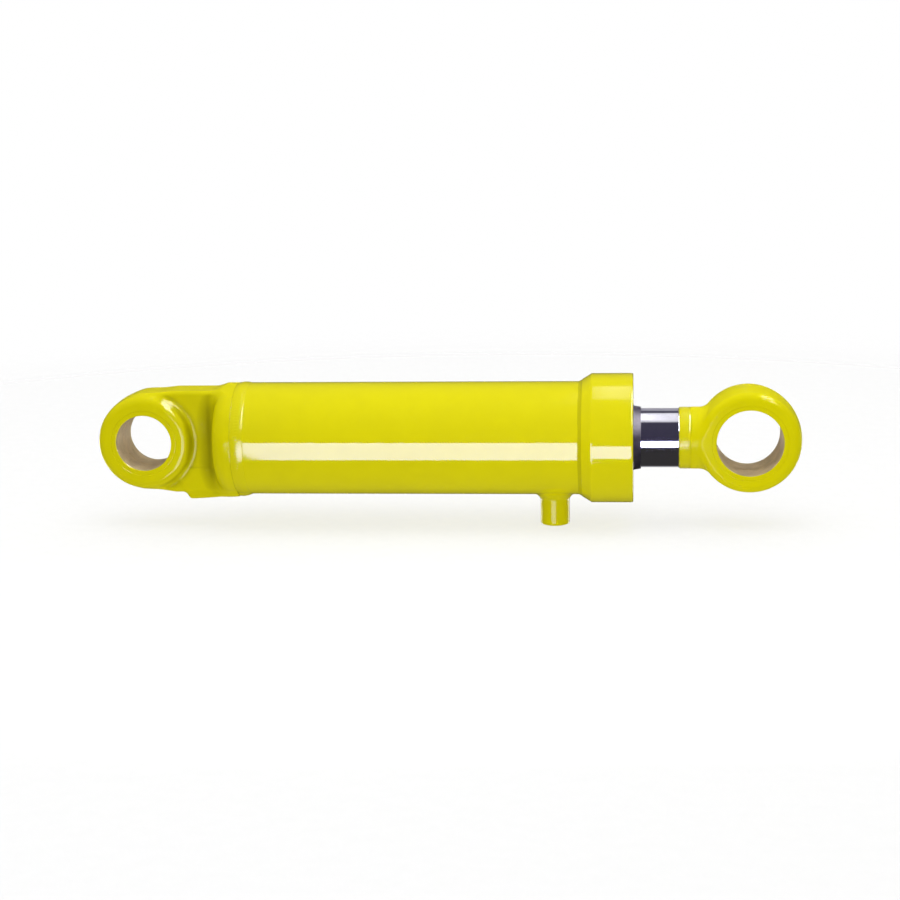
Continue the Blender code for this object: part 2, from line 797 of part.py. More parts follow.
def build_piston_nut(body):
    length = PISTON_REAR - GAP - NUT_REAR
    corner_radius = NUT_ACROSS_FLATS / 2 / math.cos(math.radians(30))
    bpy.ops.mesh.primitive_cylinder_add(vertices=6, radius=corner_radius, depth=length)
    nut = bpy.context.object
    nut.name = "piston_nut"
    nut.data.name = nut.name
    for collection in list(nut.users_collection):
        collection.objects.unlink(nut)
    PARTS.objects.link(nut)
    middle = NUT_REAR + length / 2
    place(nut, body, (middle, 0.0, 0.0), "X")
    edges = nut.modifiers.new("edges", "BEVEL")
    edges.width = 0.001
    edges.segments = 1
    at = (middle, 0.0, 0.0)
    thread = rod_cutter("nut_thread", THREAD_RADIUS + GAP, NUT_REAR - length, PISTON_FRONT, body)
    screw_hole = rod_cutter(
        "nut_screw_hole",
        SET_SCREW_RADIUS + GAP,
        THREAD_RADIUS / 2,
        corner_radius + 0.005,
        body,
        at,
        "Y",
        SCREW_FACETS,
    )
    cut(nut, thread, screw_hole)
    settle(nut, STEEL)
    inner_end = THREAD_RADIUS + 2 * GAP
    outer_end = NUT_ACROSS_FLATS / 2 - 0.002
    build_set_screw("piston_nut_lock_screw", at, inner_end, outer_end, body)


def shank_shape(body):
    """The eye's shank, which grows into the eye above and below and stays narrower than it."""
    fillet = 0.012
    reach = ROD_EYE_RADIUS + fillet
    rise = SHANK_RADIUS + fillet
    fillet_x = CLOSED_LENGTH - math.sqrt(reach**2 - rise**2)
    meet = math.degrees(math.atan2(-rise, CLOSED_LENGTH - fillet_x))
    inside_eye = CLOSED_LENGTH - 0.030
    profile = [
        (SHANK_REAR + GAP, 0.0),
        (SHANK_REAR + GAP, ROD_RADIUS - ROD_WELD_DEPTH),
        (SHANK_REAR + ROD_WELD_DEPTH, SHANK_RADIUS),
    ]
    profile += arc((fillet_x, rise), fillet, -90, meet, 4)
    profile += [(inside_eye, ROD_EYE_RADIUS - fillet), (inside_eye, 0.0)]
    shank = turned("shank", profile, body, (SHANK_REAR, 0.0, 0.0))
    slab = [(0.5, -0.1), (0.7, -0.1), (0.7, 0.1), (0.5, 0.1)]
    half_slab = SHANK_RADIUS + 2 * GAP
    combine(shank, prism("shank_slab", slab, half_slab, body, "Y"), "INTERSECT")
    return as_cutter(shank)


def build_rod_eye(body):
    seat = ROD_BUSH_RADIUS + GAP
    pin = (CLOSED_LENGTH, 0.0, 0.0)
    profile = eye_profile(ROD_EYE_RADIUS, seat, ROD_EYE_HALF_WIDTH, 0.0030, 0.007, 0.0008)
    eye = turned("rod_eye", profile, body, pin, "Y", EYE_FACETS)
    join(eye, shank_shape(body))
    bore = rod_cutter("rod_pin_bore", seat, -TUBE_RADIUS, TUBE_RADIUS, body, pin, "Y", EYE_FACETS)
    cut(eye, bore)
    settle(eye, PAINT)

    bush_half = ROD_EYE_HALF_WIDTH - BUSH_RECESS
    profile = bush_profile(ROD_PIN_RADIUS, ROD_BUSH_RADIUS, bush_half)
    bush = turned("rod_eye_bush", profile, body, pin, "Y", EYE_FACETS)
    settle(bush, BUSH_STEEL)


# ---- the cylinder -------------------------------------------------------------------------
clear_scene()
PARTS = new_collection("hydraulic_cylinder")
CUTTERS = new_collection("cutters")

cylinder = new_empty("rear_pin_centre", None, -BALANCE_STATION)
rings_carrier = new_empty("rod_slide_axis", cylinder)
rod_carrier = new_empty("rod_turn_axis", rings_carrier)

build_rear_cap(cylinder)
build_port_plug("rear_port_plug", REAR_PORT_STATION, PAD_FACE, cylinder)
build_tube(cylinder)
build_collar(cylinder)
build_front_port(cylinder)
build_port_plug("front_port_plug", FRONT_PORT_STATION, FRONT_PORT_FACE, cylinder)
build_gland(cylinder)
build_piston(rings_carrier, rod_carrier)
build_rod(rod_carrier)
build_piston_nut(rod_carrier)
build_rod_eye(rod_carrier)
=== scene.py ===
"""The looks of the hydraulic cylinder: fine meshes and paint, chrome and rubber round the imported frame.

Everything is in metres in the row frame: +X from the rear eye to the rod eye, pins along Y, ports
towards -Z. Stations are distances along X from the rear pin's centre, as in the CAD.
"""

import math
import random

import bmesh
import bpy
import numpy as np
import openvdb
from mathutils import Matrix, Vector


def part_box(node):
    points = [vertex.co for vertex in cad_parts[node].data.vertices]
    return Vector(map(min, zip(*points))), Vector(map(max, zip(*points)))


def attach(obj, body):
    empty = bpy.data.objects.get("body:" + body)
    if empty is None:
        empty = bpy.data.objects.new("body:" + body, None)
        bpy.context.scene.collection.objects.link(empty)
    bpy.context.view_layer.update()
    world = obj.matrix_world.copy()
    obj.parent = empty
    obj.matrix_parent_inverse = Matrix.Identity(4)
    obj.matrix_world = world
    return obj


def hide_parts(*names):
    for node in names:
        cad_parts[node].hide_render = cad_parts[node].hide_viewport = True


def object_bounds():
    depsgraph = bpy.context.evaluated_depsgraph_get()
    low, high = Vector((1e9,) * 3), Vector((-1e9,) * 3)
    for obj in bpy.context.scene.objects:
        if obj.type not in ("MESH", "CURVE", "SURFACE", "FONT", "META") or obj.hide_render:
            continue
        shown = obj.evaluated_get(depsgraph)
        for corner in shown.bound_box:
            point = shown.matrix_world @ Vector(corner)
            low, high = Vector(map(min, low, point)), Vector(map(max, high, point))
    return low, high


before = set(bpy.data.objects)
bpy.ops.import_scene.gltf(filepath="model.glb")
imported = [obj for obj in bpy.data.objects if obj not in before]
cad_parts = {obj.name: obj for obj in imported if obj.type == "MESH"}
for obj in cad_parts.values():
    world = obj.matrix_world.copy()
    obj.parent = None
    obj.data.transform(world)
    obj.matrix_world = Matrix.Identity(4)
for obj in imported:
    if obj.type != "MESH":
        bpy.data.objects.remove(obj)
CAD_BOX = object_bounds()

# ---- sizes, worked out from the frame ----


def middle(node):
    low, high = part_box(node)
    return (low + high) / 2


def radius_of(node):
    """The radius of a node that is round about the cylinder's axis."""
    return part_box(node)[1].z


REAR_PIN = middle("rear_eye_bush").x
ROD_PIN = middle("rod_eye_bush").x
GAP = 0.0003

TUBE_RADIUS = radius_of("barrel_tube")
BORE_RADIUS = 0.050
COLLAR_RADIUS = radius_of("head_collar") - 0.00002
ROD_RADIUS = radius_of("piston_rod")
SHANK_RADIUS = radius_of("rod_eye_weld")

WAVE_ROOM = 0.00015
REAR_EYE_RADIUS = REAR_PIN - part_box("rear_cap")[0].x - WAVE_ROOM
ROD_EYE_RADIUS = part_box("rod_eye")[1].x - ROD_PIN - WAVE_ROOM
REAR_BUSH_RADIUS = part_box("rear_eye_bush")[1].z
ROD_BUSH_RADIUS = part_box("rod_eye_bush")[1].z
BUSH_WALL = 0.005
BUSH_WALL_ROD = 0.0045
BUSH_RECESS = 0.0006
BUSH_SHOWN_RECESS = 0.0003
REAR_EYE_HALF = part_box("rear_eye_bush")[1].y + BUSH_RECESS
ROD_EYE_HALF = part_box("rod_eye_bush")[1].y + BUSH_RECESS

NECK_HALF = 0.022
NECK_TOP = 0.0550
NECK_BOTTOM = -0.0560
NECK_RISE_END = 0.030
PAD_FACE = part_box("rear_cap")[0].z
CAP_FACE = REAR_PIN + 0.0785
CAP_CORNER = 0.015
REAR_WELD = middle("rear_weld").x
REAR_WELD_HALF = 0.0065
CAP_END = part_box("rear_cap")[1].x

COLLAR_REAR, COLLAR_FRONT = (corner.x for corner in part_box("head_collar"))
COLLAR_CHAMFER_END = COLLAR_REAR + 0.010
COLLAR_WELD_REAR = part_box("collar_weld")[0].x
COLLAR_WELD_RADIUS = TUBE_RADIUS + 0.0024
TUBE_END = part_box("barrel_tube")[1].x
GLAND_FLANGE_RADIUS = radius_of("gland")
GLAND_FLANGE = COLLAR_FRONT - 0.012
GLAND_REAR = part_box("gland")[0].x
WIPER_RADIUS = radius_of("rod_wiper")
WIPER_REAR, WIPER_FRONT = (corner.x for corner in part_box("rod_wiper"))

SHANK_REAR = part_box("rod_eye")[0].x - GAP
REAR_PORT = middle("rear_port_plug").x
FRONT_PORT = middle("front_port_boss").x
FRONT_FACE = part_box("front_port_boss")[0].z
BOSS_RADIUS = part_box("front_port_boss")[1].y
PORT_RADIUS = 0.010
PORT_DEPTH = 0.020
PASSAGE_RADIUS = 0.006

FINE = 160                        # facets round the cylinder's axis
MEDIUM = 96
SMALL = 64


# ---- node helpers ----
class Nodes:
    """Short calls for building a node tree."""

    def __init__(self, tree):
        self.tree = tree

    def add(self, kind, inputs=None, **settings):
        node = self.tree.nodes.new("ShaderNode" + kind)
        for key, value in settings.items():
            setattr(node, key, value)
        self.feed_all(node, inputs or {})
        return node

    def feed_all(self, node, inputs):
        for key, value in inputs.items():
            self.feed(node.inputs[key], value)

    def feed(self, socket, value):
        if isinstance(value, bpy.types.NodeSocket):
            self.tree.links.new(value, socket)
        else:
            socket.default_value = value

    def math(self, operation, first, second=0.0, third=0.0, clamp=False):
        node = self.add("Math", {0: first, 1: second, 2: third}, operation=operation, use_clamp=clamp)
        return node.outputs[0]

    def times(self, first, *others):
        for other in others:
            first = self.math("MULTIPLY", first, other)
        return first

    def plus(self, first, *others):
        for other in others:
            first = self.math("ADD", first, other)
        return first

    def noise(self, where, scale, detail=2.0, rough=0.5):
        inputs = {"Vector": where, "Scale": scale, "Detail": detail, "Roughness": rough}
        return self.add("TexNoise", inputs).outputs["Fac"]

    def spread(self, value, low, high, to_low=0.0, to_high=1.0, smooth=False):
        inputs = {"Value": value, "From Min": low, "From Max": high, "To Min": to_low, "To Max": to_high}
        kind = "SMOOTHSTEP" if smooth else "LINEAR"
        return self.add("MapRange", inputs, interpolation_type=kind).outputs["Result"]

    def mix(self, amount, first, second):
        node = self.add("Mix", data_type="RGBA")
        self.feed_all(node, {0: amount, 6: first, 7: second})
        return node.outputs[2]

    def bump(self, height, distance, strength=1.0, after=None):
        inputs = {"Height": height, "Distance": distance, "Strength": strength}
        if after is not None:
            inputs["Normal"] = after
        return self.add("Bump", inputs).outputs["Normal"]

    def scaled(self, where, scale):
        return self.add("Mapping", {"Vector": where, "Scale": scale}).outputs["Vector"]


def new_material(name):
    """A material with an empty Principled shader: (material, nodes, shader, object coordinates)."""
    made = bpy.data.materials.new(name)
    made.use_nodes = True
    shader = made.node_tree.nodes["Principled BSDF"]
    nodes = Nodes(made.node_tree)
    where = nodes.add("TexCoord").outputs["Object"]
    return made, nodes, shader, where


# ---- materials ----
YELLOW = (0.740, 0.675, 0.0003, 1.0)
YELLOW_DEEP = (0.640, 0.575, 0.0003, 1.0)
YELLOW_SHADED = (0.20, 0.18, 0.001, 1.0)
# painted shade: the olive that concave creases are darkened towards
CREASE_SHADE = (0.30, 0.26, 0.004, 1.0)
PRIMER = (0.20, 0.19, 0.17, 1.0)
DUST = (0.55, 0.52, 0.30, 1.0)
RUST = (0.16, 0.075, 0.03, 1.0)


def toned(colour, amount):
    return tuple(channel * amount for channel in colour[:3]) + (1.0,)


def paint(name, cast=0.0, ripple=0.0, gloss=0.06, shine=1.0, shade=0.0):
    """Gloss machine enamel: orange peel, slow tone changes, painted shade in creases, and rare small
    chips.

    cast adds the uneven skin of a casting under the paint, and ripple that of a weld. gloss is the
    clear coat's roughness, shine its weight, and shade darkens a piece that lies in a hollow.
    """
    made, n, shader, where = new_material(name)
    slow = n.noise(where, 11.0, 3.0)
    medium = n.noise(where, 55.0, 4.0, 0.55)
    tone = n.plus(n.times(slow, 0.6), n.times(medium, 0.4))
    tone = n.spread(tone, 0.35, 0.65, 0.0, 0.30, smooth=True)
    # cast and weld skins get a slightly darker base colour: partly a duller paint, partly painted shade
    dulled_and_shaded = 1.0 - 0.05 * cast
    colour = n.mix(tone, toned(YELLOW, dulled_and_shaded), toned(YELLOW_DEEP, dulled_and_shaded))

    # painted shade: concave creases, found from pointiness, darken towards olive in uneven blotches
    pointed = n.add("NewGeometry").outputs["Pointiness"]
    seam = n.spread(pointed, 0.49, 0.44, smooth=True)
    crease_shade = n.times(seam, n.spread(medium, 0.30, 0.70, 0.15, 0.55))
    colour = n.mix(crease_shade, colour, CREASE_SHADE)
    hollow = n.math("POWER", n.add("Attribute", attribute_name="hollow").outputs["Fac"], 0.7)
    shaded = n.math("MULTIPLY", hollow, n.spread(slow, 0.3, 0.7, 1.5, 1.8), clamp=True)
    shaded = n.math("ADD", shaded, shade, clamp=True)
    colour = n.mix(shaded, colour, YELLOW_SHADED)

    specks = n.noise(where, 1100.0, 1.0)
    colour = n.mix(n.times(n.spread(specks, 0.72, 0.80), 0.18), colour, DUST)

    edge = n.spread(pointed, 0.535, 0.60, smooth=True)
    broken = n.spread(n.noise(where, 420.0, 5.0, 0.65), 0.60, 0.66)
    rare = n.spread(n.noise(where, 38.0, 2.0), 0.56, 0.66)
    chip = n.math("MULTIPLY", n.times(edge, broken), rare, clamp=True)
    colour = n.mix(chip, colour, PRIMER)

    rough = n.spread(medium, 0.3, 0.7, 0.34, 0.44)
    rough = n.math("ADD", rough, n.times(chip, 0.35), clamp=True)

    peel = n.noise(where, 520.0, 2.0, 0.45)
    normal = n.bump(peel, 0.00004, 0.35)
    if cast:
        skin = n.noise(where, 170.0, 5.0, 0.55)
        broad = n.noise(where, 60.0, 2.0, 0.5)
        normal = n.bump(skin, 0.0003 * cast, 0.30, normal)
        normal = n.bump(broad, 0.0008 * cast, 0.30, normal)
    if ripple:
        grain = n.noise(where, 330.0, 4.0, 0.6)
        normal = n.bump(grain, 0.0006 * ripple, 0.4, normal)
    normal = n.bump(n.math("SUBTRACT", 1.0, chip), 0.00012, 0.8, normal)

    sheltered = n.math("MAXIMUM", chip, shaded)
    open_share = n.math("SUBTRACT", 1.0, sheltered, clamp=True)
    inputs = {
        "Base Color": colour,
        "Roughness": rough,
        "Normal": normal,
        "Specular IOR Level": 0.03,
        "Coat Weight": n.times(open_share, shine),
        "Coat Roughness": n.spread(slow, 0.3, 0.7, gloss * 0.75, gloss * 1.35),
        "Coat Normal": normal,
    }
    n.feed_all(shader, inputs)
    return made


def chrome(name):
    """Polished hard chrome: fine grinding rings, faint wiping marks, a thin oil haze."""
    made, n, shader, where = new_material(name)
    rings = n.noise(n.scaled(where, (2600.0, 12.0, 12.0)), 1.0, 3.0, 0.6)
    wiping = n.noise(n.scaled(where, (9.0, 700.0, 700.0)), 1.0, 3.0, 0.6)
    haze = n.noise(where, 26.0, 4.0, 0.6)
    colour = n.mix(n.spread(haze, 0.35, 0.7), (0.80, 0.80, 0.83, 1.0), (0.68, 0.69, 0.73, 1.0))
    scratch = n.spread(wiping, 0.66, 0.72)
    rough = n.plus(n.spread(haze, 0.3, 0.7, 0.055, 0.10), n.times(scratch, 0.12))
    normal = n.bump(rings, 0.000004, 0.5)
    normal = n.bump(scratch, 0.000006, 0.4, normal)
    n.feed_all(shader, {"Base Color": colour, "Metallic": 1.0, "Roughness": rough, "Normal": normal})
    return made


def turned_steel(name, dark, light, axis="X", roughness=0.38, rust=0.0, metallic=1.0):
    """Machined metal with fine turning lines that run round the given axis."""
    made, n, shader, where = new_material(name)
    stretch = [14.0, 14.0, 14.0]
    stretch["XYZ".index(axis)] = 2200.0
    lines = n.noise(n.scaled(where, stretch), 1.0, 4.0, 0.65)
    cloud = n.noise(where, 60.0, 4.0, 0.6)
    blend = n.plus(n.times(lines, 0.5), n.times(cloud, 0.5))
    colour = n.mix(n.spread(blend, 0.35, 0.65), dark, light)
    stain = n.times(n.spread(n.noise(where, 190.0, 5.0, 0.7), 0.55, 0.72), rust)
    rough = n.spread(lines, 0.3, 0.7, roughness - 0.07, roughness + 0.09)
    inputs = {
        "Base Color": n.mix(stain, colour, RUST),
        "Metallic": metallic,
        "Specular IOR Level": 0.3,
        "Roughness": n.math("ADD", rough, n.times(stain, 0.3), clamp=True),
        "Normal": n.bump(lines, 0.00003, 0.5),
    }
    n.feed_all(shader, inputs)
    return made


def moulded(name, dark, light, roughness, grain_scale, grain_height, coat=0.0):
    """Rubber or plastic: a fine moulded grain, cloudy tone, and edges rubbed a little lighter."""
    made, n, shader, where = new_material(name)
    cloud = n.noise(where, 90.0, 4.0, 0.6)
    grain = n.noise(where, grain_scale, 3.0, 0.6)
    colour = n.mix(n.spread(cloud, 0.35, 0.65), dark, light)
    pointed = n.add("NewGeometry").outputs["Pointiness"]
    worn = n.times(n.spread(pointed, 0.52, 0.60, smooth=True), 0.45)
    rubbed = tuple(min(1.0, channel * 1.8 + 0.02) for channel in light[:3]) + (1.0,)
    inputs = {
        "Base Color": n.mix(worn, colour, rubbed),
        "Roughness": n.spread(grain, 0.3, 0.7, roughness - 0.08, roughness + 0.08),
        "Normal": n.bump(grain, grain_height, 0.6),
        "Coat Weight": coat,
    }
    n.feed_all(shader, inputs)
    return made


def woven(name, dark, light):
    """Fabric-filled phenolic: two crossed thread directions just under a matte resin skin."""
    made, n, shader, where = new_material(name)
    threads = {"Vector": where, "Scale": 420.0, "Distortion": 1.2}
    along, across = (n.add("TexWave", threads, bands_direction=way) for way in ("X", "DIAGONAL"))
    weave = n.times(along.outputs["Fac"], across.outputs["Fac"])
    cloud = n.noise(where, 70.0, 4.0)
    inputs = {
        "Base Color": n.mix(n.plus(n.times(weave, 0.6), n.times(cloud, 0.4)), dark, light),
        "Roughness": n.spread(cloud, 0.3, 0.7, 0.48, 0.62),
        "Normal": n.bump(weave, 0.00005, 0.5),
    }
    n.feed_all(shader, inputs)
    return made


PAINT_TURNED = paint("paint_turned")
PAINT_CAST = paint("paint_cast", cast=1.0, gloss=0.08, shine=0.35)
PAINT_FORGED = paint("paint_forged", cast=0.6, gloss=0.10, shine=0.13)
PAINT_WELD = paint("paint_weld", cast=0.4, ripple=1.0, gloss=0.09)
# the collar weld bead is darkened all over: painted shade for the crease where the tube meets the collar
PAINT_SEAM_SHADED = paint("paint_seam_shaded", cast=0.4, ripple=1.0, gloss=0.09, shade=0.30)
CHROME = chrome("hard_chrome_fine")
# bore steel: brownish oiled steel whose beige is partly painted reflection of the yellow eye round it
BUSH_STEEL = turned_steel(
    "bush_bore", (0.44, 0.35, 0.19, 1), (0.76, 0.62, 0.37, 1), "Y", 0.52, rust=0.28, metallic=0.15
)
STEEL = turned_steel(
    "turned_steel", (0.30, 0.30, 0.32, 1), (0.52, 0.52, 0.54, 1), "X", 0.36, rust=0.15
)
IRON = turned_steel(
    "gland_iron_fine", (0.035, 0.035, 0.038, 1), (0.10, 0.10, 0.105, 1), "X", 0.44, 0.20, metallic=0.8
)
SCREW_STEEL = turned_steel(
    "black_oxide", (0.02, 0.02, 0.022, 1), (0.07, 0.07, 0.075, 1), "Y", 0.40, rust=0.25
)
RUBBER = moulded("nitrile", (0.010, 0.010, 0.012, 1), (0.028, 0.027, 0.032, 1), 0.50, 900.0, 0.00003)
WIPER_RUBBER = moulded(
    "wiper_rubber", (0.022, 0.018, 0.030, 1), (0.060, 0.050, 0.075, 1), 0.46, 900.0, 0.00003
)
SLIDE_RING = moulded(
    "filled_ptfe_fine", (0.06, 0.10, 0.08, 1), (0.12, 0.17, 0.14, 1), 0.50, 1500.0, 0.00001
)
BLUE_SEAL = moulded("seal_blue", (0.02, 0.06, 0.20, 1), (0.04, 0.12, 0.34, 1), 0.38, 700.0, 0.00001, 0.2)
PLUG_PLASTIC = moulded(
    "plug_plastic", (0.40, 0.37, 0.03, 1), (0.56, 0.52, 0.06, 1), 0.42, 800.0, 0.00002
)
GUIDE_RING = woven("phenolic_weave", (0.20, 0.10, 0.035, 1), (0.42, 0.26, 0.11, 1))


# ---- mesh helpers ----
SHARP_EDGE = 32.0                 # degrees between faces that stay an edge, not a round
WELD_EDGE = 60.0
CAST_EDGE = 40.0


def linked(name, data):
    made = bpy.data.objects.new(name, data)
    bpy.context.scene.collection.objects.link(made)
    return made


def new_object(name, mesh, material, sharp=SHARP_EDGE):
    mesh.materials.append(material)
    mesh.shade_smooth()
    mesh.set_sharp_from_angle(angle=math.radians(sharp))
    return linked(name, mesh)


def hand_over(piece, node, body="barrel"):
    """The piece rides on its body and stands for its CAD node."""
    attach(piece, body)
    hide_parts(node)


def arc(centre, radius, start, end, steps):
    """Points of an arc, angles in degrees from the first axis towards the second."""
    angles = [math.radians(start + (end - start) * step / steps) for step in range(steps + 1)]
    return [(centre[0] + radius * math.cos(a), centre[1] + radius * math.sin(a)) for a in angles]


def rounded(profile, steps=4, closed=True):
    """Rounds the corners of a profile. A point (a, b, r) gets a round of radius r."""
    made = []
    count = len(profile)
    for index, point in enumerate(profile):
        here = Vector(point[:2])
        size = point[2] if len(point) > 2 else 0.0
        if size == 0.0 or (not closed and index in (0, count - 1)):
            made.append(tuple(here))
            continue
        before = (Vector(profile[index - 1][:2]) - here).normalized()
        after = (Vector(profile[(index + 1) % count][:2]) - here).normalized()
        half = before.angle(after) / 2
        reach = size / math.tan(half)
        centre = here + (before + after).normalized() * size / math.sin(half)
        first = here + before * reach - centre
        last = here + after * reach - centre
        for step in range(steps + 1):
            made.append(tuple(centre + size * first.slerp(last, step / steps)))
    return made


def braced(profile, solid, reach=0.0005):
    """Adds points near both ends of long stretches, to keep smooth shading at the corners."""
    made = []
    ends = profile[1:] if solid else profile[1:] + profile[:1]
    for start, end in zip(profile, ends):
        first, last = Vector(start), Vector(end)
        made.append(start)
        length = (last - first).length
        if length > 5 * reach:
            made.append(tuple(first.lerp(last, reach / length)))
            made.append(tuple(last.lerp(first, reach / length)))
    return made + profile[-1:] if solid else made


def ring_faces(turns, rows, closed=True):
    """Quads between neighbouring rows of points that go round in turns steps."""
    faces = []
    for step in range(turns):
        here, there = step * rows, (step + 1) % turns * rows
        for row in range(rows if closed else rows - 1):
            below = (row + 1) % rows
            faces.append((here + row, here + below, there + below, there + row))
    return faces


def lathe(profile, axis="X", origin=(0.0, 0.0, 0.0), facets=FINE, shift=None):
    """A closed turned mesh. profile holds (distance along the axis, radius) points.

    A profile that starts and ends on the axis makes a solid, and any other makes a ring. shift,
    when given, takes (angle, distance, radius) and returns a new (distance, radius).
    """
    solid = profile[0][1] == 0.0
    area = 0.0
    for (a, r), (b, s) in zip(profile, profile[1:] + profile[:1]):
        area += r * b - s * a
    if area > 0.0:
        profile = profile[::-1]
    profile = braced(profile, solid)
    ends = (profile[0], profile[-1]) if solid else ()
    inner = profile[1:-1] if solid else profile
    points = []
    for step in range(facets):
        angle = 2 * math.pi * step / facets
        for distance, radius in inner:
            if shift:
                distance, radius = shift(angle, distance, radius)
            points.append((radius * math.cos(angle), radius * math.sin(angle), distance))
    rows = len(inner)
    faces = ring_faces(facets, rows, closed=not solid)
    for end, row in zip(ends, (0, rows - 1)):
        points.append((0.0, 0.0, end[0]))
        centre = len(points) - 1
        for step in range(facets):
            here, there = step * rows + row, (step + 1) % facets * rows + row
            faces.append((centre, here, there) if row == 0 else (centre, there, here))
    mesh = bpy.data.meshes.new("lathe")
    mesh.from_pydata(points, [], faces)
    turn = {"X": Matrix.Rotation(math.pi / 2, 4, "Y"), "Y": Matrix.Rotation(-math.pi / 2, 4, "X")}
    mesh.transform(Matrix.Translation(origin) @ turn.get(axis, Matrix.Identity(4)))
    face_outwards(mesh)
    return mesh


def face_outwards(mesh):
    work = bmesh.new()
    work.from_mesh(mesh)
    bmesh.ops.recalc_face_normals(work, faces=work.faces)
    work.to_mesh(mesh)
    work.free()


def drill(thing, *cutters):
    """Cuts meshes out of an object, with the cuts applied."""
    for cutter in cutters:
        helper = linked("cutter", cutter)
        hole = thing.modifiers.new("hole", "BOOLEAN")
        hole.operation = "DIFFERENCE"
        hole.solver = "EXACT"
        hole.object = helper
        bpy.context.view_layer.update()
        graph = bpy.context.evaluated_depsgraph_get()
        mesh = bpy.data.meshes.new_from_object(thing.evaluated_get(graph))
        thing.modifiers.clear()
        old = thing.data
        thing.data = mesh
        bpy.data.meshes.remove(old)
        bpy.data.objects.remove(helper)
        bpy.data.meshes.remove(cutter)
    thing.data.shade_smooth()
    thing.data.set_sharp_from_angle(angle=math.radians(SHARP_EDGE))


# ---- distance fields for the cast and forged pieces ----
def round_box(first, second, radius):
    """Distance to a corner whose two sides are at first = 0 and second = 0, rounded."""
    outside = np.hypot(np.maximum(first + radius, 0.0), np.maximum(second + radius, 0.0))
    inside = np.minimum(np.maximum(first + radius, second + radius), 0.0)
    return outside + inside - radius


def join_round(first, second, radius):
    """The union of two distance fields with a concave fillet."""
    blend = np.hypot(np.maximum(radius - first, 0.0), np.maximum(radius - second, 0.0))
    return np.maximum(radius, np.minimum(first, second)) - blend


def meet_round(first, second, radius):
    """The intersection of two distance fields with a rounded edge."""
    blend = np.hypot(np.maximum(radius + first, 0.0), np.maximum(radius + second, 0.0))
    return np.minimum(-radius, np.maximum(first, second)) + blend


def shade_hollows(mesh, field):
    """Stores how deep each point lies in a hollow, as the vertex attribute the paint reads."""
    count = len(mesh.vertices)
    points = np.empty(count * 3)
    normals = np.empty(count * 3)
    mesh.vertices.foreach_get("co", points)
    mesh.vertices.foreach_get("normal", normals)
    points, normals = points.reshape(-1, 3), normals.reshape(-1, 3)
    hollow = np.zeros(count)
    for reach, weight in ((0.005, 0.25), (0.011, 0.35), (0.022, 0.40)):
        x, y, z = (points + normals * reach).T
        hollow += weight * np.clip(1 - field(x, y, z) / reach, 0.0, 1.0)
    layer = mesh.attributes.new("hollow", "FLOAT", "POINT")
    layer.data.foreach_set("value", hollow.astype(np.float32))


def field_mesh(field, low, high, step):
    """The surface where a distance field is zero, on a grid with the given step."""
    margin = 3
    spans = [np.arange(a - margin * step, b + margin * step, step) for a, b in zip(low, high)]
    x, y, z = np.meshgrid(*spans, indexing="ij", sparse=True)
    limit = margin * step
    values = np.clip(field(x, y, z), -limit, limit).astype(np.float32)
    grid = openvdb.FloatGrid(limit)
    grid.copyFromArray(values)
    points, quads = grid.convertToQuads(0.0)
    points = points * step + np.array([span[0] for span in spans])
    mesh = bpy.data.meshes.new("field")
    mesh.vertices.add(len(points))
    mesh.vertices.foreach_set("co", points.astype(np.float32).ravel())
    mesh.loops.add(quads.size)
    mesh.loops.foreach_set("vertex_index", quads.astype(np.int32).ravel())
    mesh.polygons.add(len(quads))
    mesh.polygons.foreach_set("loop_start", np.arange(0, quads.size, 4, dtype=np.int32))
    mesh.update(calc_edges=True)
    mesh.validate()
    shade_hollows(mesh, field)
    return mesh


def eye_field(x, y, z, pin, radius, half, crown, shoulder):
    """A pin eye about a Y axis at x = pin: crowned rim, round shoulders, flat side faces."""
    from_pin = np.hypot(x - pin, z)
    rim = radius - crown * (y / half) ** 2
    return round_box(from_pin - rim, np.abs(y) - half, shoulder)


def waviness(x, y, z, height, length):
    """Slow, smooth unevenness of a casting's skin."""
    k = 2 * math.pi / length
    wave = np.sin(k * x + 1.3 * np.sin(0.7 * k * y)) * np.cos(0.9 * k * z + 0.6)
    wave = wave + np.sin(0.8 * k * y + 1.1) * np.cos(0.6 * k * x + 0.5 * k * z)
    return height * wave / 2


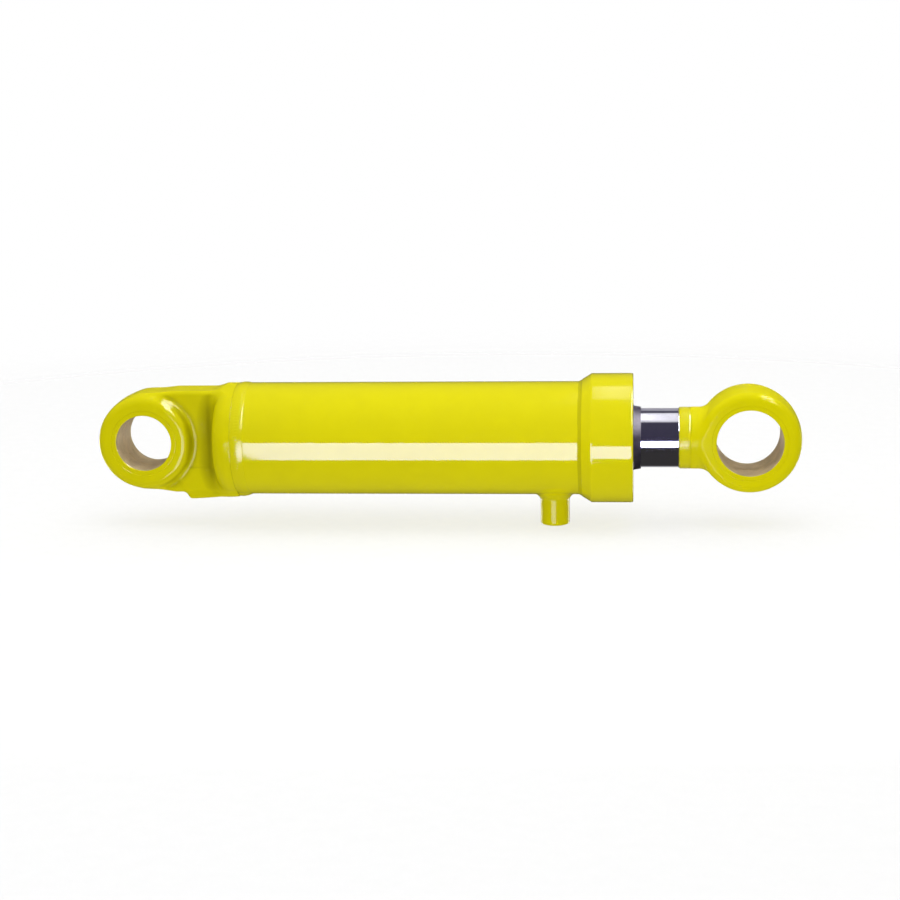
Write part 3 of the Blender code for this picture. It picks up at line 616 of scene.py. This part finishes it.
def rear_cap_field(x, y, z):
    station = x - REAR_PIN
    across = np.abs(y)
    round_off = np.hypot(y, z)
    eye = eye_field(x, y, z, REAR_PIN, REAR_EYE_RADIUS, REAR_EYE_HALF, 0.0022, 0.008)

    share = np.clip(station / NECK_RISE_END, 0.0, 1.0)
    skin = REAR_EYE_RADIUS - GAP
    sunk = 1.1 * np.minimum(station, 0.0) ** 2 / REAR_EYE_RADIUS
    top = z - (skin + (NECK_TOP - skin) * share - sunk)
    bottom = -z - (skin + (-NECK_BOTTOM - skin) * share - sunk)
    side = across - NECK_HALF
    height = meet_round(top, bottom, 0.002)
    neck = meet_round(height, side, 0.0045)
    neck = np.maximum(neck, np.maximum(-station - 0.022, station - 0.0915))

    face = CAP_FACE - x
    groove = x - (REAR_WELD - REAR_WELD_HALF)
    disc = meet_round(face, round_off - TUBE_RADIUS, CAP_CORNER)
    disc = np.maximum(disc, groove)

    slope = (z - PAD_FACE) * -1.0
    runout = (-z + PAD_FACE + (station - 0.0865) * 0.19) / math.hypot(1.0, 0.19)
    foot = meet_round(slope, runout, 0.010)
    lead = (0.0460 - station) * 0.86 - (z - PAD_FACE) * 0.5
    pad = meet_round(meet_round(foot, lead, 0.003), across - NECK_HALF, 0.0045)
    pad = np.maximum(pad, np.maximum(z + 0.030, groove))

    body = join_round(neck, pad, 0.003)
    body = join_round(body, disc, 0.009)
    body = join_round(body, eye, 0.005)
    body = body + waviness(x, y, z, 0.00010, 0.040)
    body = np.maximum(body, groove)
    above_pad = np.where((station > 0.060) & (z > -0.048), 0.0, -1.0)
    body = np.maximum(body, round_off - TUBE_RADIUS + above_pad)
    body = np.maximum(body, across - np.where(station < 0.05, REAR_EYE_HALF, 1.0))
    spigot = np.maximum(round_off - (BORE_RADIUS - GAP), x - CAP_END)
    spigot = np.maximum(spigot, CAP_FACE + 0.010 - x)
    return np.minimum(body, spigot)


def rod_eye_field(x, y, z):
    eye = eye_field(x, y, z, ROD_PIN, ROD_EYE_RADIUS, ROD_EYE_HALF, 0.0030, 0.007)
    round_off = np.hypot(y, z)
    shank = np.maximum(round_off - SHANK_RADIUS, x - ROD_PIN + 0.040)
    body = join_round(shank, eye, 0.006)
    body = body + waviness(x, y, z, 0.00008, 0.036)
    lead = (SHANK_REAR + 0.006 - x) * 0.7071 + (round_off - SHANK_RADIUS) * 0.7071
    body = meet_round(body, lead, 0.0006)
    body = np.maximum(body, np.abs(y) - ROD_EYE_HALF)
    return np.maximum(body, SHANK_REAR + GAP - x)


# ---- pieces of the barrel ----
def pin_bore(pin, radius, half, chamfer=0.0004):
    """A cutter for a pin bore along Y, with a chamfer at each mouth."""
    reach = half + 0.004
    mouth = radius + chamfer + 0.004
    profile = [(-reach, 0.0), (-reach, mouth), (-half + chamfer, radius)]
    profile += [(half - chamfer, radius), (reach, mouth), (reach, 0.0)]
    return lathe(profile, "Y", (pin, 0.0, 0.0), FINE)


def rod_cutter(start, end, radius, axis="X", origin=(0.0, 0.0, 0.0), facets=SMALL):
    """A plain round cutter."""
    return lathe([(start, 0.0), (start, radius), (end, radius), (end, 0.0)], axis, origin, facets)


def thread(start, end, pitch, radius, depth, crest=0.0):
    """Grooves of a screw thread along a profile. crest is the flat's share on each side of a groove."""
    points = []
    while start + pitch < end:
        points += [(start + pitch * crest, radius), (start + pitch / 2, radius + depth)]
        points.append((start + pitch * (1 - crest), radius))
        start += pitch
    return list(dict.fromkeys(points))


def port_bore(x, face):
    """A cutter for a threaded port that opens downwards: chamfer, thread grooves, floor, passage."""
    passage_end = 0.006
    profile = [(face - 0.001, 0.0), (face - 0.001, PORT_RADIUS + 0.002), (face + 0.001, PORT_RADIUS)]
    profile += thread(face + 0.0012, face + 0.014, 0.0018, PORT_RADIUS, 0.0006, 0.15)
    floor = face + PORT_DEPTH
    profile += [(floor, PORT_RADIUS), (floor + 0.003, PASSAGE_RADIUS), (passage_end, PASSAGE_RADIUS)]
    profile += [(passage_end, 0.0)]
    return lathe(profile, "Z", (x, 0.0, 0.0), SMALL)


def build_rear_cap():
    low = (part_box("rear_cap")[0].x, -TUBE_RADIUS, PAD_FACE)
    high = (CAP_END, TUBE_RADIUS, TUBE_RADIUS)
    mesh = field_mesh(rear_cap_field, low, high, 0.0010)
    cap = new_object("rear_cap_casting", mesh, PAINT_CAST, CAST_EDGE)
    drill(
        cap,
        pin_bore(REAR_PIN, REAR_BUSH_RADIUS + GAP, REAR_EYE_HALF),
        port_bore(REAR_PORT, PAD_FACE),
        rod_cutter(REAR_PORT - 0.002, CAP_END + 0.004, 0.0054, facets=32),
    )
    hand_over(cap, "rear_cap")


def build_bush(name, pin, outer, wall, half, node):
    """A pressed bush: oiled steel inside, its beige partly painted reflection of the yellow eye, its end
    faces painted over with the eye.
    """
    inner = outer - wall
    outer += GAP
    half_length = half - BUSH_SHOWN_RECESS
    groove = 0.0006
    profile = [(-half_length, inner, 0.0010), (-half_length, outer, 0.0003)]
    profile += [(half_length, outer, 0.0003), (half_length, inner, 0.0010)]
    profile += [(groove * 4, inner), (groove * 2, inner + groove)]
    profile += [(-groove * 2, inner + groove), (-groove * 4, inner)]
    mesh = lathe(rounded(profile), "Y", (pin, 0.0, 0.0), FINE)
    bush = new_object(name, mesh, BUSH_STEEL)
    rear = pin == REAR_PIN
    mesh.materials.append(PAINT_CAST if rear else PAINT_FORGED)
    for face in mesh.polygons:
        if abs(face.normal.y) > 0.5 and abs(face.center.y) > half_length - 0.002:
            face.material_index = 1
    hand_over(bush, node, "barrel" if rear else "rod")


def bead_shift(axis_middle, half, ripples, height, seed):
    """Moves a bead's skin into overlapping weld ripples, leaning as a torch leaves them."""
    draw = random.Random(seed)
    phases = [draw.uniform(0, 2 * math.pi) for _ in range(4)]

    def shift(angle, distance, radius):
        off = (distance - axis_middle) / half
        lean = 0.030 * (1 - off * off)
        turn = ripples * (angle + lean * 4 + 0.010 * math.sin(3 * angle + phases[0]))
        saw = (turn / (2 * math.pi)) % 1.0
        ripple = (1 - saw) ** 1.6
        slow = 0.25 * math.sin(7 * angle + phases[1]) + 0.15 * math.sin(17 * angle + phases[2])
        share = max(0.0, 1 - off * off)
        return distance, radius + height * share * (ripple - 0.4 + slow)

    return shift


def build_bead(name, profile, ripples, shift, material, node, body="barrel"):
    """Turns a weld bead with six facets to a ripple."""
    weld = new_object(name, lathe(profile, facets=6 * ripples, shift=shift), material, WELD_EDGE)
    hand_over(weld, node, body)


def build_rear_weld():
    """The bead melts into the cap and the tube: its toes lie just under their skins."""
    toe = REAR_WELD_HALF + 0.0006
    root, crown, steps = 0.0533, 0.0011, 10
    profile = [(REAR_WELD - 0.0005, root)]
    for step in range(steps + 1):
        off = 2 * step / steps - 1
        profile.append((REAR_WELD + toe * off, TUBE_RADIUS - 0.0003 + crown * (1 - off * off)))
    profile.append((REAR_WELD + 0.0005, root))
    ripples = 120
    bead = bead_shift(REAR_WELD, toe, ripples, 0.00022, 3)

    def shift(angle, distance, radius):
        if radius < root + 0.003:
            return distance, radius
        distance, radius = bead(angle, distance, radius)
        if math.cos(angle) > 0.86:
            beside = min(1.0, abs(math.sin(angle)) * radius / (NECK_HALF + 0.001))
            radius += 0.0030 * (1 - beside**4) * (REAR_WELD + toe - distance) / (2 * toe)
        return distance, radius

    build_bead("rear_weld_bead", profile, ripples, shift, PAINT_WELD, "rear_weld")


def build_tube():
    start = REAR_WELD + REAR_WELD_HALF
    rear = REAR_WELD + 0.001
    profile = [(rear, BORE_RADIUS), (rear, 0.0525), (start, TUBE_RADIUS, 0.0004)]
    profile += [(TUBE_END, TUBE_RADIUS), (TUBE_END, BORE_RADIUS)]
    tube = new_object("barrel_tube_painted", lathe(rounded(profile)), PAINT_TURNED)
    drill(tube, rod_cutter(-0.066, -0.045, PASSAGE_RADIUS, "Z", (FRONT_PORT, 0.0, 0.0)))
    hand_over(tube, "barrel_tube")


def build_collar():
    socket = TUBE_RADIUS + GAP
    lip = GLAND_FLANGE_RADIUS + GAP
    profile = [
        (COLLAR_REAR, socket),
        (COLLAR_REAR, COLLAR_WELD_RADIUS, 0.0006),
        (COLLAR_CHAMFER_END, COLLAR_RADIUS, 0.0030),
        (COLLAR_FRONT, COLLAR_RADIUS, 0.0016),
        (COLLAR_FRONT, lip, 0.0006),
    ]
    profile += [(GLAND_FLANGE, lip), (GLAND_FLANGE, BORE_RADIUS)]
    profile += [(TUBE_END + GAP, BORE_RADIUS), (TUBE_END + GAP, socket)]
    collar = new_object("head_collar_painted", lathe(rounded(profile)), PAINT_TURNED)
    screw = middle("gland_lock_screw").x
    radius = 0.0040
    hole = [(BORE_RADIUS, 0.0), (BORE_RADIUS, radius), (COLLAR_RADIUS - 0.0006, radius)]
    hole += [(COLLAR_RADIUS + 0.003, radius + 0.0036), (COLLAR_RADIUS + 0.003, 0.0)]
    drill(collar, lathe(hole, "Y", (screw, 0.0, 0.0), SMALL))
    hand_over(collar, "head_collar")


def build_collar_weld():
    front, socket = COLLAR_REAR + 0.0003, TUBE_RADIUS - GAP
    rise, run = COLLAR_WELD_RADIUS - socket, front - COLLAR_WELD_REAR
    profile = [(COLLAR_WELD_REAR, socket)]
    steps = 7
    for step in range(1, steps + 1):
        share = step / steps
        profile.append((COLLAR_WELD_REAR + run * share, socket + rise * share**2.2))
    profile.append((front - 0.0004, socket))
    ripples = 132
    half = run / 2
    bead = bead_shift(COLLAR_WELD_REAR + half, half, ripples, 0.00022, 5)

    def shift(angle, distance, radius):
        return bead(angle, distance, radius) if radius > socket + 0.0003 else (distance, radius)

    build_bead("collar_weld_bead", profile, ripples, shift, PAINT_SEAM_SHADED, "collar_weld")


def build_front_boss():
    inside = -0.045
    floor = FRONT_FACE + PORT_DEPTH
    profile = [(FRONT_FACE, PORT_RADIUS - 0.003), (FRONT_FACE, BOSS_RADIUS, 0.0028)]
    profile += [(inside, BOSS_RADIUS), (inside, 0.004), (floor, 0.004)]
    profile = rounded(profile, 8)
    mesh = lathe(profile, "Z", (FRONT_PORT, 0.0, 0.0), MEDIUM)
    boss = new_object("front_port_boss_turned", mesh, PAINT_CAST)
    reach = 2 * TUBE_RADIUS
    saddle = rod_cutter(FRONT_PORT - reach, FRONT_PORT + reach, TUBE_RADIUS + GAP, facets=FINE)
    drill(boss, port_bore(FRONT_PORT, FRONT_FACE), saddle)
    hand_over(boss, "front_port_boss")


def build_front_weld():
    """The flared fillet that lies on the round tube and runs up the boss."""
    inner = BOSS_RADIUS - 0.0002
    throat = 0.0088
    skin = arc((inner + throat, throat), throat, 180, 270, 12)
    section = [(inner, -0.0003)] + skin + [(inner + throat + 0.0006, -0.0003)]
    turns = 144
    draw = random.Random(11)
    phase = draw.uniform(0, 2 * math.pi)
    points = []
    for turn in range(turns):
        angle = 2 * math.pi * turn / turns
        for index, (out, up) in enumerate(section):
            if 0 < index < len(section) - 1:
                share = math.sin(math.pi * (index - 1) / (len(skin) - 1))
                ripple = math.sin(34 * angle + 1.6 * share + phase) * 0.5 + 0.3 * math.sin(5 * angle)
                out += 0.00010 * share * ripple
                up += 0.00010 * share * ripple
            y = out * math.sin(angle)
            x = FRONT_PORT + out * math.cos(angle)
            points.append((x, y, -(math.sqrt(TUBE_RADIUS**2 - y * y) + up)))
    mesh = bpy.data.meshes.new("fillet")
    mesh.from_pydata(points, [], ring_faces(turns, len(section)))
    face_outwards(mesh)
    weld = new_object("front_port_fillet", mesh, PAINT_WELD, WELD_EDGE)
    hand_over(weld, "front_port_weld")


def build_plug(name, node):
    """A moulded shipping plug: thin rim, dished face and a small moulded boss in the middle."""
    low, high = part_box(node)
    radius, face, back = high.y, low.z, high.z
    profile = [(face + 0.0006, 0.0)]
    profile += arc((face + 0.0014, radius * 0.14), 0.0008, 180, 90, 5)
    profile += [(face + 0.0022, radius * 0.24), (face + 0.0021, radius * 0.52)]
    profile += arc((face + 0.0014, radius * 0.70), 0.0012, 120, 200, 5)
    rim = [(face, radius * 0.74), (face, radius, 0.0006), (back, radius, 0.0004), (back, 0.0)]
    profile += rounded(rim, closed=False)
    plug = new_object(name, lathe(profile, "Z", (middle(node).x, 0.0, 0.0), SMALL), PLUG_PLASTIC)
    hand_over(plug, node, "barrel")


# ---- gland, seals and wiper ----
# grooves as (start, end, floor radius), measured from the rear of the gland and of the piston
GLAND_GROOVES = (
    (0.047, 0.057, 0.0345),
    (0.033, 0.042, 0.0385),
    (0.021, 0.027, 0.0375),
    (0.005, 0.015, 0.0345),
)
SPANNER_CIRCLE = 0.046            # pitch radius of the gland's spanner holes
PISTON_GROOVES = ((0.006, 0.015, 0.0468), (0.020, 0.031, 0.0430), (0.036, 0.045, 0.0468))


def groove(start, end, floor, wall):
    return [(start, wall), (start, floor), (end, floor), (end, wall)]


def build_gland():
    outer = BORE_RADIUS - GAP
    bore = ROD_RADIUS + 0.0005
    front = COLLAR_FRONT - GAP
    flange = GLAND_FLANGE + GAP
    seat = WIPER_RADIUS + GAP
    nose = GLAND_REAR + 0.007
    profile = [(GLAND_REAR, 0.043, 0.0006), (nose, 0.043), (nose, outer, 0.0008)]
    profile += groove(GLAND_REAR + 0.0285, GLAND_REAR + 0.0355, 0.0455, outer)
    profile += [(flange, outer), (flange, GLAND_FLANGE_RADIUS), (front, GLAND_FLANGE_RADIUS, 0.0008)]
    profile += [(front, seat, 0.0006), (flange, seat), (flange, bore)]
    for start, end, floor in GLAND_GROOVES:
        profile += groove(GLAND_REAR + start, GLAND_REAR + end, floor, bore)[::-1]
    profile.append((GLAND_REAR, bore, 0.0010))
    gland = new_object("gland_turned", lathe(rounded(profile)), IRON)
    hole = [(front - 0.007, 0.0), (front - 0.0055, 0.003), (front - 0.0005, 0.003)]
    hole += [(front + 0.002, 0.0055), (front + 0.002, 0.0)]
    places = arc((0.0, 0.0), SPANNER_CIRCLE, 45, 315, 3)
    drill(gland, *(lathe(hole, "X", (0.0, y, z), 32) for y, z in places))
    hand_over(gland, "gland", "barrel")


def build_wiper():
    lip = ROD_RADIUS + GAP
    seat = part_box("gland")[1].x - GAP
    front = WIPER_FRONT
    profile = [
        (WIPER_REAR, WIPER_RADIUS - 0.0015, 0.0004),
        (WIPER_REAR, WIPER_RADIUS, 0.0004),
        (seat, WIPER_RADIUS, 0.0005),
        (seat + 0.0015, lip + 0.0024, 0.0008),
        (front, lip + 0.0013, 0.0005),
        (front, lip, 0.0004),
        (front - 0.0028, lip, 0.0008),
        (front - 0.0060, lip + 0.0007),
    ]
    wiper = new_object("rod_wiper_moulded", lathe(rounded(profile, 5)), WIPER_RUBBER)
    hand_over(wiper, "rod_wiper", "barrel")


def build_ring(name, node, body, material, inner, edge=0.0004):
    """A square-edged ring with broken edges, the size of its CAD node."""
    low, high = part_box(node)
    corners = ((low.x, inner), (low.x, high.z), (high.x, high.z), (high.x, inner))
    profile = rounded([corner + (edge,) for corner in corners])
    ring = new_object(name, lathe(profile, facets=MEDIUM), material)
    hand_over(ring, node, body)


def build_cord(name, node, body, inner):
    """An O-ring of round section."""
    low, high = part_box(node)
    cord = (high.z - inner) / 2
    section = arc(((low.x + high.x) / 2, inner + cord), cord, 0, 345, 23)
    ring = new_object(name, lathe(section, facets=MEDIUM), RUBBER)
    hand_over(ring, node, body)


def build_lip_seal(name, node, material):
    low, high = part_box(node)
    inner, outer = ROD_RADIUS + GAP, high.z
    thick = outer - inner
    slot_end = low.x + (high.x - low.x) * 0.55
    corners = [(low.x, inner), (low.x, inner + thick * 0.3), (slot_end, inner + thick * 0.5)]
    corners += [(low.x, inner + thick * 0.7), (low.x, outer), (high.x, outer), (high.x, inner)]
    profile = rounded([corner + (0.0003,) for corner in corners], 3)
    seal = new_object(name, lathe(profile, facets=MEDIUM), material)
    hand_over(seal, node, "barrel")


def build_screw(name, node, body):
    """A grub screw along +Y with a hexagon socket."""
    low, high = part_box(node)
    radius, start, end = high.z, low.y, high.y
    profile = [(start, 0.0), (start, radius - 0.0010), (start + 0.0010, radius)]
    profile += thread(start + 0.0012, end - 0.0006, 0.0010, radius, -0.00045)
    profile += [(end - 0.0005, radius), (end, radius - 0.0005), (end, 0.0)]
    at = (middle(node).x, 0.0, 0.0)
    screw = new_object(name, lathe(profile, "Y", at, 48), SCREW_STEEL)
    width, outside = radius * 0.56, end + 0.002
    socket = [(end - 0.0038, 0.0), (end - 0.003, width), (outside, width), (outside, 0.0)]
    drill(screw, lathe(socket, "Y", at, 6))
    hand_over(screw, node, body)


# ---- rod, piston and rod eye ----
def build_rod():
    start, end = (corner.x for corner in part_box("piston_rod"))
    piston_rear, piston_front = (corner.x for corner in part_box("piston"))
    piston_front += GAP
    screw, spigot = 0.020, 0.022
    profile = [(start, 0.0), (start, screw - 0.002), (start + 0.002, screw)]
    profile += thread(start + 0.0024, piston_rear - 0.002, 0.0020, screw, -0.0010)
    groove_rear = SHANK_REAR - 0.0066
    front = [(piston_rear, screw), (piston_rear, spigot, 0.0005), (piston_front, spigot)]
    front += [(piston_front, ROD_RADIUS, 0.0010), (groove_rear, ROD_RADIUS, 0.0003)]
    front += [(end, ROD_RADIUS - 0.006), (end, 0.0)]
    profile += rounded(front, closed=False)
    rod = new_object("piston_rod_chromed", lathe(profile), CHROME)
    hand_over(rod, "piston_rod", "rod")


def build_rod_weld():
    low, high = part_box("rod_eye_weld")
    root = ROD_RADIUS - 0.0054
    rear, front = low.x, high.x + 0.0006
    step_up = SHANK_RADIUS - ROD_RADIUS
    skin = [(rear - 0.0002, ROD_RADIUS - 0.0002)]
    skin += arc((rear + step_up + 0.0002, ROD_RADIUS), step_up - 0.0001, 175, 90, 5)
    steps = 7
    start = skin[-1][0]
    for step in range(1, steps + 1):
        skin.append((start + (front - start) * step / steps, SHANK_RADIUS - 0.0001))
    skin.append((front + 0.0002, SHANK_RADIUS - 0.0004))
    profile = [(SHANK_REAR - GAP, root)] + skin + [(SHANK_REAR, root)]
    ripples = 72
    centre = (rear + front) / 2
    bead = bead_shift(centre, (front - rear) / 2, ripples, 0.00012, 9)

    def shift(angle, distance, radius):
        if radius < ROD_RADIUS + 0.0004:
            return distance, radius
        distance, radius = bead(angle, distance, radius)
        return distance, min(radius, SHANK_RADIUS)

    build_bead("rod_eye_weld_bead", profile, ripples, shift, PAINT_WELD, "rod_eye_weld", "rod")


def build_rod_eye():
    low = (SHANK_REAR, -ROD_EYE_HALF, -ROD_EYE_RADIUS)
    high = (ROD_PIN + ROD_EYE_RADIUS, ROD_EYE_HALF, ROD_EYE_RADIUS)
    mesh = field_mesh(rod_eye_field, low, high, 0.0009)
    eye = new_object("rod_eye_forging", mesh, PAINT_FORGED, CAST_EDGE)
    drill(eye, pin_bore(ROD_PIN, ROD_BUSH_RADIUS + GAP, ROD_EYE_HALF))
    hand_over(eye, "rod_eye", "rod")


def build_piston():
    low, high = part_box("piston")
    land = high.z
    bore = 0.0223
    profile = [(low.x, bore, 0.0006), (low.x, land, 0.0006)]
    for start, end, floor in PISTON_GROOVES:
        profile += groove(low.x + start, low.x + end, floor, land)
    profile += [(high.x - 0.008, land, 0.001), (high.x, land - 0.004, 0.001), (high.x, bore)]
    profile += groove(low.x + 0.026, low.x + 0.031, 0.0255, bore)[::-1]
    piston = new_object("piston_turned", lathe(rounded(profile)), STEEL)
    hand_over(piston, "piston", "rod")


def build_nut():
    """A hexagon nut with chamfered corners and a plain bore."""
    low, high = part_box("piston_nut")
    across = high.z
    corner = across / math.cos(math.radians(30))
    shape = {"segments": 6, "radius1": corner, "radius2": corner, "depth": high.x - low.x}
    body = bmesh.new()
    bmesh.ops.create_cone(body, cap_ends=True, **shape)
    mesh = bpy.data.meshes.new("nut")
    body.to_mesh(mesh)
    body.free()
    mesh.transform(Matrix.Translation(middle("piston_nut")) @ Matrix.Rotation(math.pi / 2, 4, "Y"))
    face_outwards(mesh)
    nut = new_object("piston_nut_machined", mesh, STEEL)
    slack = 0.004
    reach = corner + 0.004
    trims = []
    for end, way in ((low.x, -1.0), (high.x, 1.0)):
        outside, inside = end + way * slack, end - way * (reach - across) * 0.5
        trim = [(outside, across - 0.001), (outside, reach), (inside, reach), (end, across - 0.001)]
        trims.append(lathe(trim, facets=MEDIUM))
    bore = rod_cutter(low.x - slack, high.x + slack, 0.0203, facets=MEDIUM)
    at = (middle("piston_nut_lock_screw").x, 0.0, 0.0)
    drill(nut, *trims, bore, rod_cutter(0.012, reach, 0.004, "Y", at, 32))
    hand_over(nut, "piston_nut", "rod")


# ---- everything ----
build_rear_cap()
build_bush("rear_bush_pressed", REAR_PIN, REAR_BUSH_RADIUS, BUSH_WALL, REAR_EYE_HALF, "rear_eye_bush")
build_rear_weld()
build_tube()
build_collar()
build_collar_weld()
build_front_boss()
build_front_weld()
build_plug("rear_plug_moulded", "rear_port_plug")
build_plug("front_plug_moulded", "front_port_plug")

build_gland()
build_wiper()
build_cord("gland_o_ring_moulded", "gland_o_ring", "barrel", 0.0458)
build_ring("gland_backup_cut", "gland_backup_ring", "barrel", SLIDE_RING, 0.0458, 0.0002)
for place in ("rear", "front"):
    for owner, body, inner in (("rod", "barrel", ROD_RADIUS + GAP), ("piston", "piston_rings", 0.0471)):
        name, node = f"{owner}_guide_{place}", f"{owner}_wear_ring_{place}"
        build_ring(name, node, body, GUIDE_RING, inner)
build_lip_seal("rod_buffer_moulded", "rod_buffer_seal", SLIDE_RING)
build_lip_seal("rod_seal_moulded", "rod_seal", BLUE_SEAL)
build_screw("gland_grub_screw", "gland_lock_screw", "barrel")

build_rod()
build_rod_weld()
build_rod_eye()
build_bush("rod_bush_pressed", ROD_PIN, ROD_BUSH_RADIUS, BUSH_WALL_ROD, ROD_EYE_HALF, "rod_eye_bush")
build_piston()
build_ring("piston_slide_seal", "piston_seal", "piston_rings", SLIDE_RING, 0.0462)
build_ring("piston_energizer", "piston_seal_energizer", "rod", RUBBER, 0.0433, 0.0008)
build_cord("piston_o_ring_moulded", "piston_o_ring", "rod", 0.0222)
build_nut()
build_screw("nut_grub_screw", "piston_nut_lock_screw", "rod")


# ---- floor, light and camera ----
def sheet(name, corners, material, place):
    """Flat rectangles, four corners to each."""
    mesh = bpy.data.meshes.new(name)
    mesh.from_pydata(corners, [], [range(start, start + 4) for start in range(0, len(corners), 4)])
    mesh.materials.append(material)
    made = linked(name, mesh)
    made.location = place
    return made


def build_floor():
    """A pale floor that fades into the white surround, and that can't be seen from below."""
    size = 4.0
    corners = [(-size, -size, 0), (size, -size, 0), (size, size, 0), (-size, size, 0)]
    made, n, shader, where = new_material("pale_floor")
    floor = sheet("floor", corners, made, (0.0, 0.0, CAD_BOX[0].z - 0.0006))
    fine = n.noise(where, 60.0, 3.0)
    pale = n.mix(fine, (0.86, 0.86, 0.855, 1), (0.90, 0.90, 0.895, 1))
    n.feed_all(shader, {"Base Color": pale, "Roughness": 0.9, "Specular IOR Level": 0.1})
    away = n.add("VectorMath", {0: where}, operation="LENGTH").outputs["Value"]
    fade = n.spread(away, 0.55, 1.6, smooth=True)
    under = n.add("NewGeometry").outputs["Backfacing"]
    clear = n.math("MAXIMUM", n.math("MAXIMUM", fade, under), 0.70)
    see_through = n.add("BsdfTransparent").outputs[0]
    both = n.add("MixShader", {0: clear, 1: shader.outputs[0], 2: see_through})
    output = made.node_tree.nodes["Material Output"]
    n.feed(output.inputs["Surface"], both.outputs[0])
    floor.visible_glossy = False


def build_world():
    """A soft studio: white to the camera, a bright dome for diffuse light, softboxes for reflections."""
    world = bpy.data.worlds.new("studio")
    bpy.context.scene.world = world
    world.use_nodes = True
    tree = world.node_tree
    n = Nodes(tree)
    way = n.add("TexCoord").outputs["Generated"]
    x, y, z = n.add("SeparateXYZ", {0: way}).outputs
    front = n.times(y, -1.0)
    degrees = 180.0 / math.pi
    climb = n.times(n.math("ARCTAN2", z, front), degrees)
    swing = n.times(n.math("ARCTAN2", x, front), degrees)
    level = n.math("SQRT", n.math("SUBTRACT", 1.0, n.times(z, z)))
    height = n.times(n.math("ARCTAN2", z, level), degrees)

    def band(value, low, high, soft):
        rise = n.spread(value, low - soft, low + soft, smooth=True)
        fall = n.spread(value, high - soft, high + soft, 1.0, 0.0, smooth=True)
        return n.times(rise, fall)

    around, over = n.math("ABSOLUTE", swing), n.math("ABSOLUTE", climb)
    windows = (
        n.times(band(climb, 83.0, 114.0, 4.0), band(x, -0.0245, -0.002, 0.001), 2.8),
        n.times(band(climb, 74.0, 122.0, 5.0), band(x, -0.002, 0.028, 0.001), 1.1),
        n.times(band(over, 138.0, 190.0, 6.0), band(x, -0.002, 0.028, 0.001), 0.40),
        n.times(band(climb, 36.0, 112.0, 6.0), band(x, 0.29, 0.57, 0.04), 36.0),
        n.times(band(around, 128.0, 146.0, 0.8), band(height, -31.0, -4.0, 1.2), 6.0),
    )
    plain = n.plus(*windows)
    dark = n.mix(n.spread(climb, -6.0, 2.0), (0.038, 0.035, 0.036, 1), (0.052, 0.046, 0.080, 1))
    lit = n.add("VectorMath", {0: (0.97, 0.95, 1.0), "Scale": plain}, operation="SCALE").outputs[0]
    glossy_colour = n.add("VectorMath", {0: lit, 1: dark}, operation="ADD").outputs[0]

    sky = n.times(n.math("MAXIMUM", z, 0.0), 1.25)
    ground = n.times(n.math("MAXIMUM", n.times(z, -1.0), 0.0), 1.05)
    dome = n.plus(sky, ground, 0.19)
    light = n.add("LightPath").outputs
    white = (1.0, 1.0, 1.0, 1.0)
    seen = n.mix(light["Is Glossy Ray"], n.mix(1.0, white, dome), glossy_colour)
    seen = n.mix(light["Is Camera Ray"], seen, white)
    n.feed_all(tree.nodes["Background"], {"Color": seen, "Strength": 1.0})


def build_strip_card():
    """A long low card that only shows in the gloss: the pale line along the barrel and the rod."""
    left, step, right = REAR_WELD - 0.219, ROD_PIN - 0.205, ROD_PIN - 0.0265
    corners = []
    for start, end, low, high in ((left, step, -0.730, 0.010), (step, right, -0.510, -0.075)):
        corners += [(start, 0.0, low), (end, 0.0, low), (end, 0.0, high), (start, 0.0, high)]
    made, n, unused = new_material("strip_light")[:3]
    made.node_tree.nodes.remove(unused)
    made.cycles.emission_sampling = "NONE"
    card = sheet("strip_card", corners, made, (0.0, -1.06, 0.0))
    glow = n.add("Emission", {"Color": (0.585, 0.57, 1.0, 1.0), "Strength": 13.0})
    n.feed(made.node_tree.nodes["Material Output"].inputs["Surface"], glow.outputs[0])
    for unseen in ("camera", "diffuse", "shadow", "transmission", "volume_scatter"):
        setattr(card, "visible_" + unseen, False)


def build_lamp(name, place, target, size, power):
    """A softbox that lights the piece but isn't seen in its gloss."""
    data = bpy.data.lights.new(name, "AREA")
    data.shape = "RECTANGLE"
    data.size, data.size_y = size
    data.energy = power
    lamp = linked(name, data)
    lamp.location = place
    lamp.rotation_euler = (Vector(target) - Vector(place)).to_track_quat("-Z", "Y").to_euler()
    lamp.visible_glossy = False


def build_camera():
    """Seen from a little above and a little towards the rod eye, level with the cylinder's axis."""
    low, high = CAD_BOX
    centre = (low + high) / 2
    azimuth, elevation, distance = math.radians(5.7), math.radians(11.3), 2.10
    level = math.cos(elevation)
    back = Vector((math.sin(azimuth) * level, -math.cos(azimuth) * level, math.sin(elevation)))
    data = bpy.data.cameras.new("camera")
    camera = linked("camera", data)
    centre.x += 0.0032
    centre.z -= 0.0010
    camera.location = centre + back * distance
    tilt = math.atan(math.tan(azimuth) * math.sin(elevation))
    look = (-back).to_track_quat("-Z", "Y")
    camera.rotation_mode = "QUATERNION"
    camera.rotation_quaternion = look @ Matrix.Rotation(-tilt, 4, "Z").to_quaternion()
    frame_share = 0.778
    frame_width = (high.x - low.x) / frame_share
    data.lens = data.sensor_width / 2 / (frame_width / 2 / distance)
    data.clip_start, data.clip_end = 0.01, 50.0
    bpy.context.scene.camera = camera


build_floor()
build_world()
build_strip_card()
build_lamp("overhead_softbox", (0.02, -0.2, 1.1), (0.02, 0.0, 0.0), (1.0, 0.6), 2.5)
build_lamp("front_softbox", (0.15, -0.70, 0.12), (0.10, 0.0, 0.0), (0.40, 0.30), 0.9)
build_camera()
bpy.context.scene.view_settings.view_transform = "Standard"
